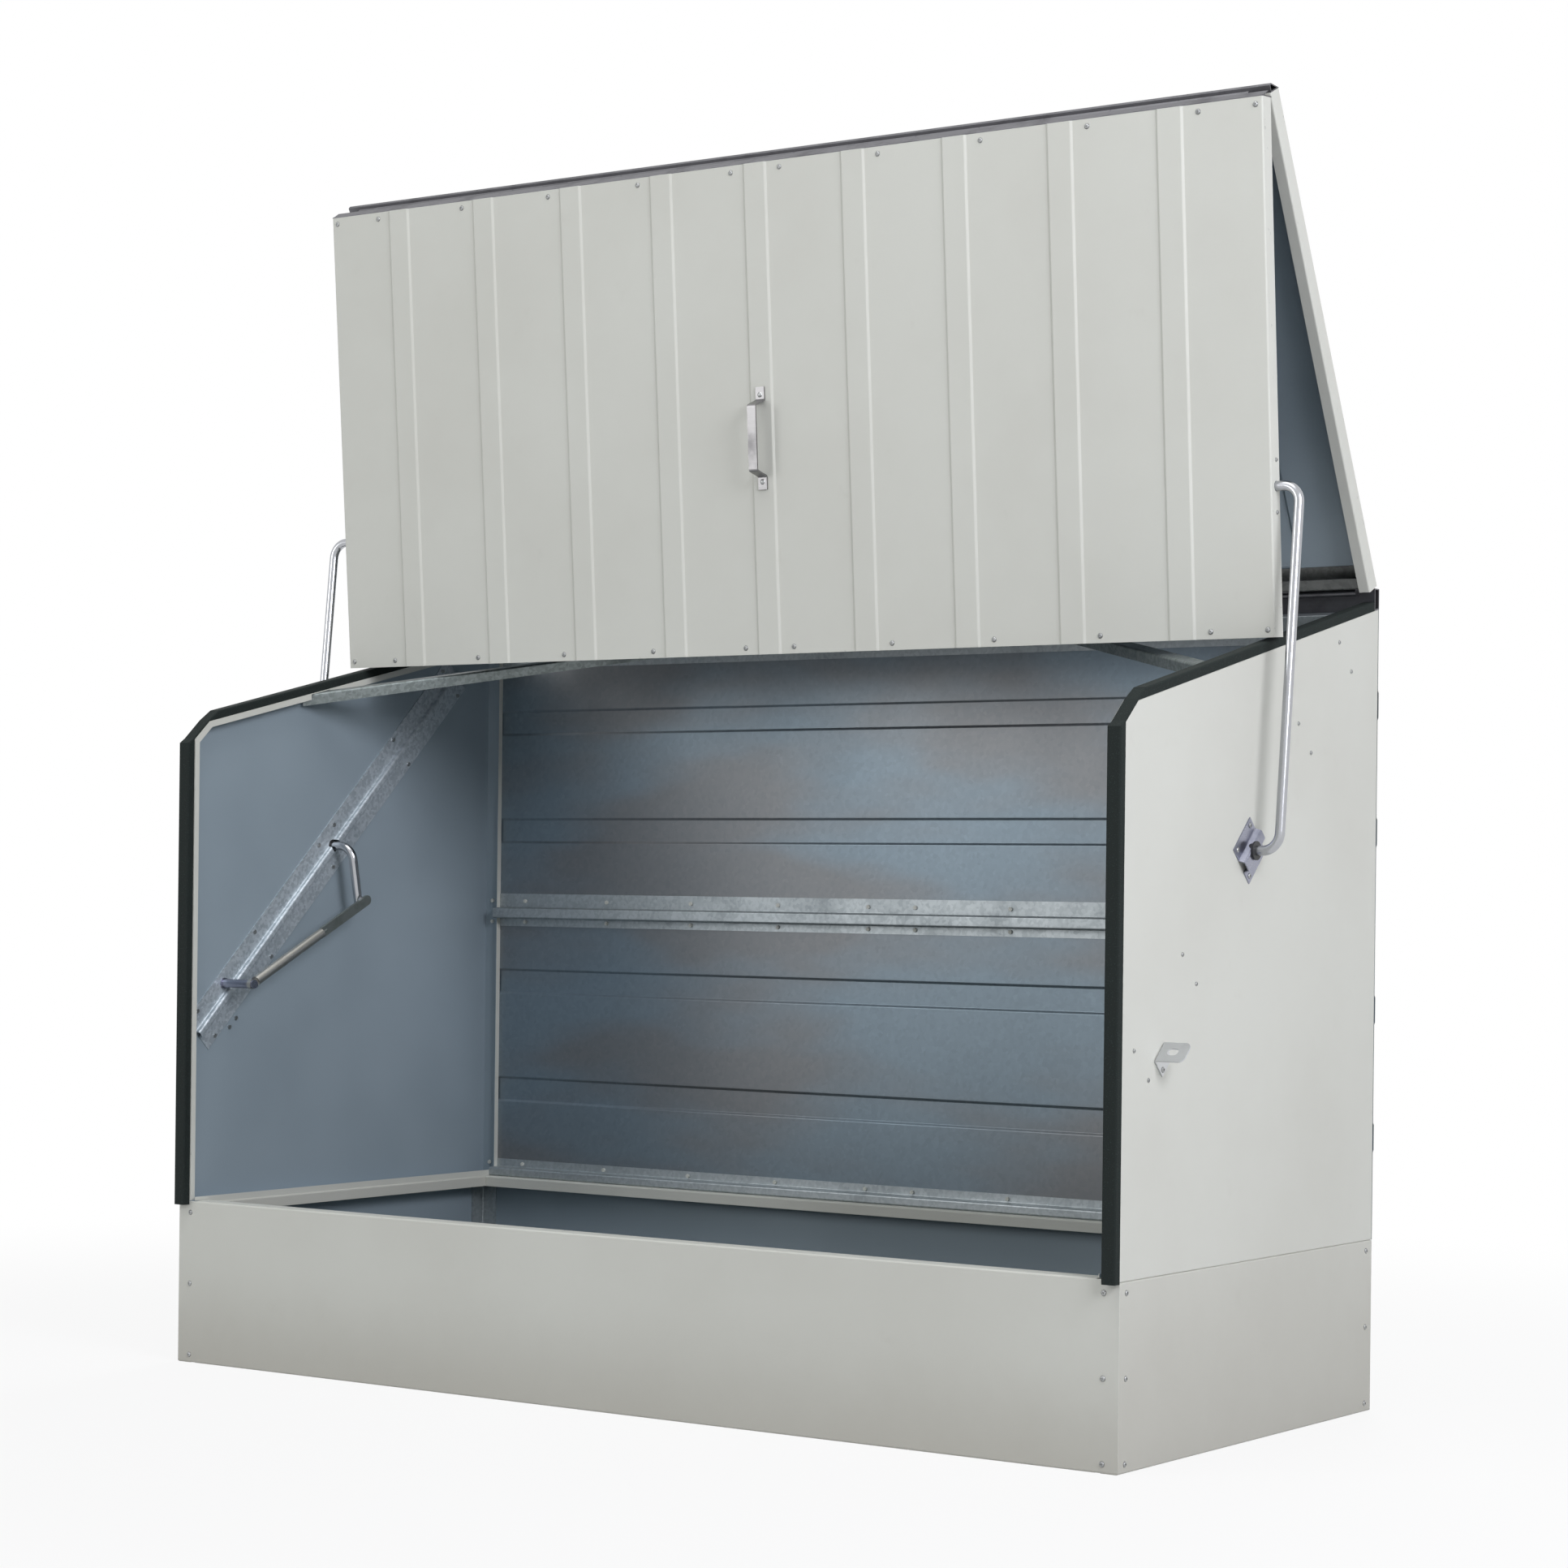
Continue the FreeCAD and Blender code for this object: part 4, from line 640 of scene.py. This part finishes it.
rubber = Finish("seal_rubber", {"Specular IOR Level": 0.25})
grains = rubber.ramp(rubber.cloud(520.0, 2.0), 0.60, 0.72)
skin = rubber.cloud(60.0, 4.0)
rubber.set("Base Color", rubber.mix(grains * 0.4 + skin * 0.2, srgb(20, 26, 25), srgb(62, 74, 71)))
rubber.set("Roughness", 0.7 + skin * 0.25)
rubber.relief(grains * 0.6 + skin * 0.6, 0.0008, 0.6)
for side, sign in (("right", 1), ("left", -1)):
    strip = bmesh.new()
    loops = [[strip.verts.new((point.x * sign, point.y, point.z)) for point in ring] for ring in rings]
    for near, far in zip(loops, loops[1:]):
        for index in range(len(near)):
            after = (index + 1) % len(near)
            strip.faces.new((near[index], near[after], far[after], far[index]))
    strip.faces.new(loops[0])
    strip.faces.new(loops[-1])
    bmesh.ops.recalc_face_normals(strip, faces=strip.faces)
    strip_mesh = bpy.data.meshes.new("rubber_strip_" + side)
    strip.to_mesh(strip_mesh)
    strip.free()
    strip_mesh.materials.append(rubber.material)
    piece = bpy.data.objects.new("rubber_strip_" + side, strip_mesh)
    bpy.context.scene.collection.objects.link(piece)
    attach(piece, "cabinet")
    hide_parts("seal_" + side)


# Hinges of the roof and the door: long extruded knuckle hinges, left grey and dulled outdoors,
# with fine lines along their length, and the folded cap and nose that cover them.
drawn_lines = (6.0, 500.0, 500.0)
coat(plated_finish("hinge_profile", srgb(116, 116, 120), srgb(82, 82, 85), 0.42, drawn_lines),
     "rear_cap", "roof_hinge_fixed", "roof_hinge_pin", "roof_hinge_leaf", "roof_nose",
     "door_hinge")


# Roof: one ribbed sheet, cream above and grey below, folded down at its sides, with two
# zinc-coated rails screwed under its ends. The rails have gone dull in the damp air.
roof_tilt = math.radians(63.93)
roof_out = Vector((0, math.sin(roof_tilt), math.cos(roof_tilt)))
roof_up = Vector((0, -math.cos(roof_tilt), math.sin(roof_tilt)))
sheet_lip_depth = 0.026
paint_sheet("roof_panel", roof_out, roof_up, sheet_lip_depth)
dull_zinc = zinc_finish("dull_zinc", srgb(128, 130, 128), srgb(98, 100, 98), 170.0, 0.5)
coat(dull_zinc, "roof_rail_front", "roof_rail_rear")
drive_screws("roof_screws", "roof", screw_zinc, [roof_out], 4)


# Door: a ribbed sheet like the roof, folded back along its sides, with a zinc-coated rail
# screwed behind its top and its bottom edge.
door_tilt = math.radians(4.28)
door_out = Vector((0, -math.cos(door_tilt), -math.sin(door_tilt)))
door_up = Vector((0, -math.sin(door_tilt), math.cos(door_tilt)))
paint_sheet("door_panel", door_out, door_up, sheet_lip_depth)
coat(dull_zinc, "door_rail_top", "door_rail_bottom")
drive_screws("door_screws", "door", screw_zinc, [door_out], 5)


# Handle: flat steel strip, bent to a bow and zinc plated, rubbed smooth by hands, held by two
# screws.
coat(plated_finish("handle_bar", srgb(152, 151, 152), srgb(104, 103, 105), 0.27), "handle")
coat(screw_zinc, "handle_screws")


# Arms: round steel bar, bent twice, ground and bright zinc plated. Each turns in a black plastic
# bush held by a pressed plate with a lilac tint in its zinc, and its bent end goes into a socket
# of the same plate behind the door's side fold, kept there by a push-on clip.
arm_wear = 0.3
coat(plated_finish("bright_bar", srgb(178, 180, 184), srgb(138, 140, 146), 0.2, wear=arm_wear),
     "arm_right", "arm_left")
plated_sheet = plated_finish("plated_sheet", srgb(158, 160, 174), srgb(108, 111, 128), 0.22)
coat(plated_sheet, "pivot_plate_right", "pivot_plate_left", "arm_sockets")
coat(screw_zinc, "arm_clip_right", "arm_clip_left")
plastic = Finish("bush_plastic", {"Roughness": 0.45})
plastic.set("Base Color", plastic.mix(plastic.cloud(90.0), srgb(22, 23, 24), srgb(44, 45, 47)))
plastic.relief(plastic.cloud(400.0, 2.0), 0.0002, 0.3)
coat(plastic.material, "pivot_bush_right", "pivot_bush_left")
drive_screws("plate_screws", "cabinet", screw_zinc, [right, left], 6)
drive_screws("socket_rivets", "door", screw_zinc, [right, left], 7,
             rivet_radius)


# Padlock tabs: thick steel strip with a slot for the shackle, bent outwards, zinc plated and
# pale, each held by two screws.
coat(plated_finish("tab_zinc", srgb(206, 208, 210), srgb(160, 162, 166), 0.3),
     "padlock_tab_right", "padlock_tab_left")
drive_screws("tab_screws", "cabinet", screw_zinc, [right, left], 8)


# Struts: a satin steel tube and a duller rod that slides in it, on a pin welded to a foot with
# the same lilac tint. They help the arms to carry the door and roof.
coat(plated_sheet, "strut_anchor_right", "strut_anchor_left")
coat(plated_finish("strut_tube", srgb(196, 195, 190), srgb(150, 148, 142), 0.3),
     "strut_body_right", "strut_body_left")
coat(plated_finish("strut_dark", srgb(150, 156, 153), srgb(108, 115, 111), 0.4),
     "strut_rod_right", "strut_rod_left")

size = {"cad": cad_box, "visual": [list(corner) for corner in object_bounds()]}
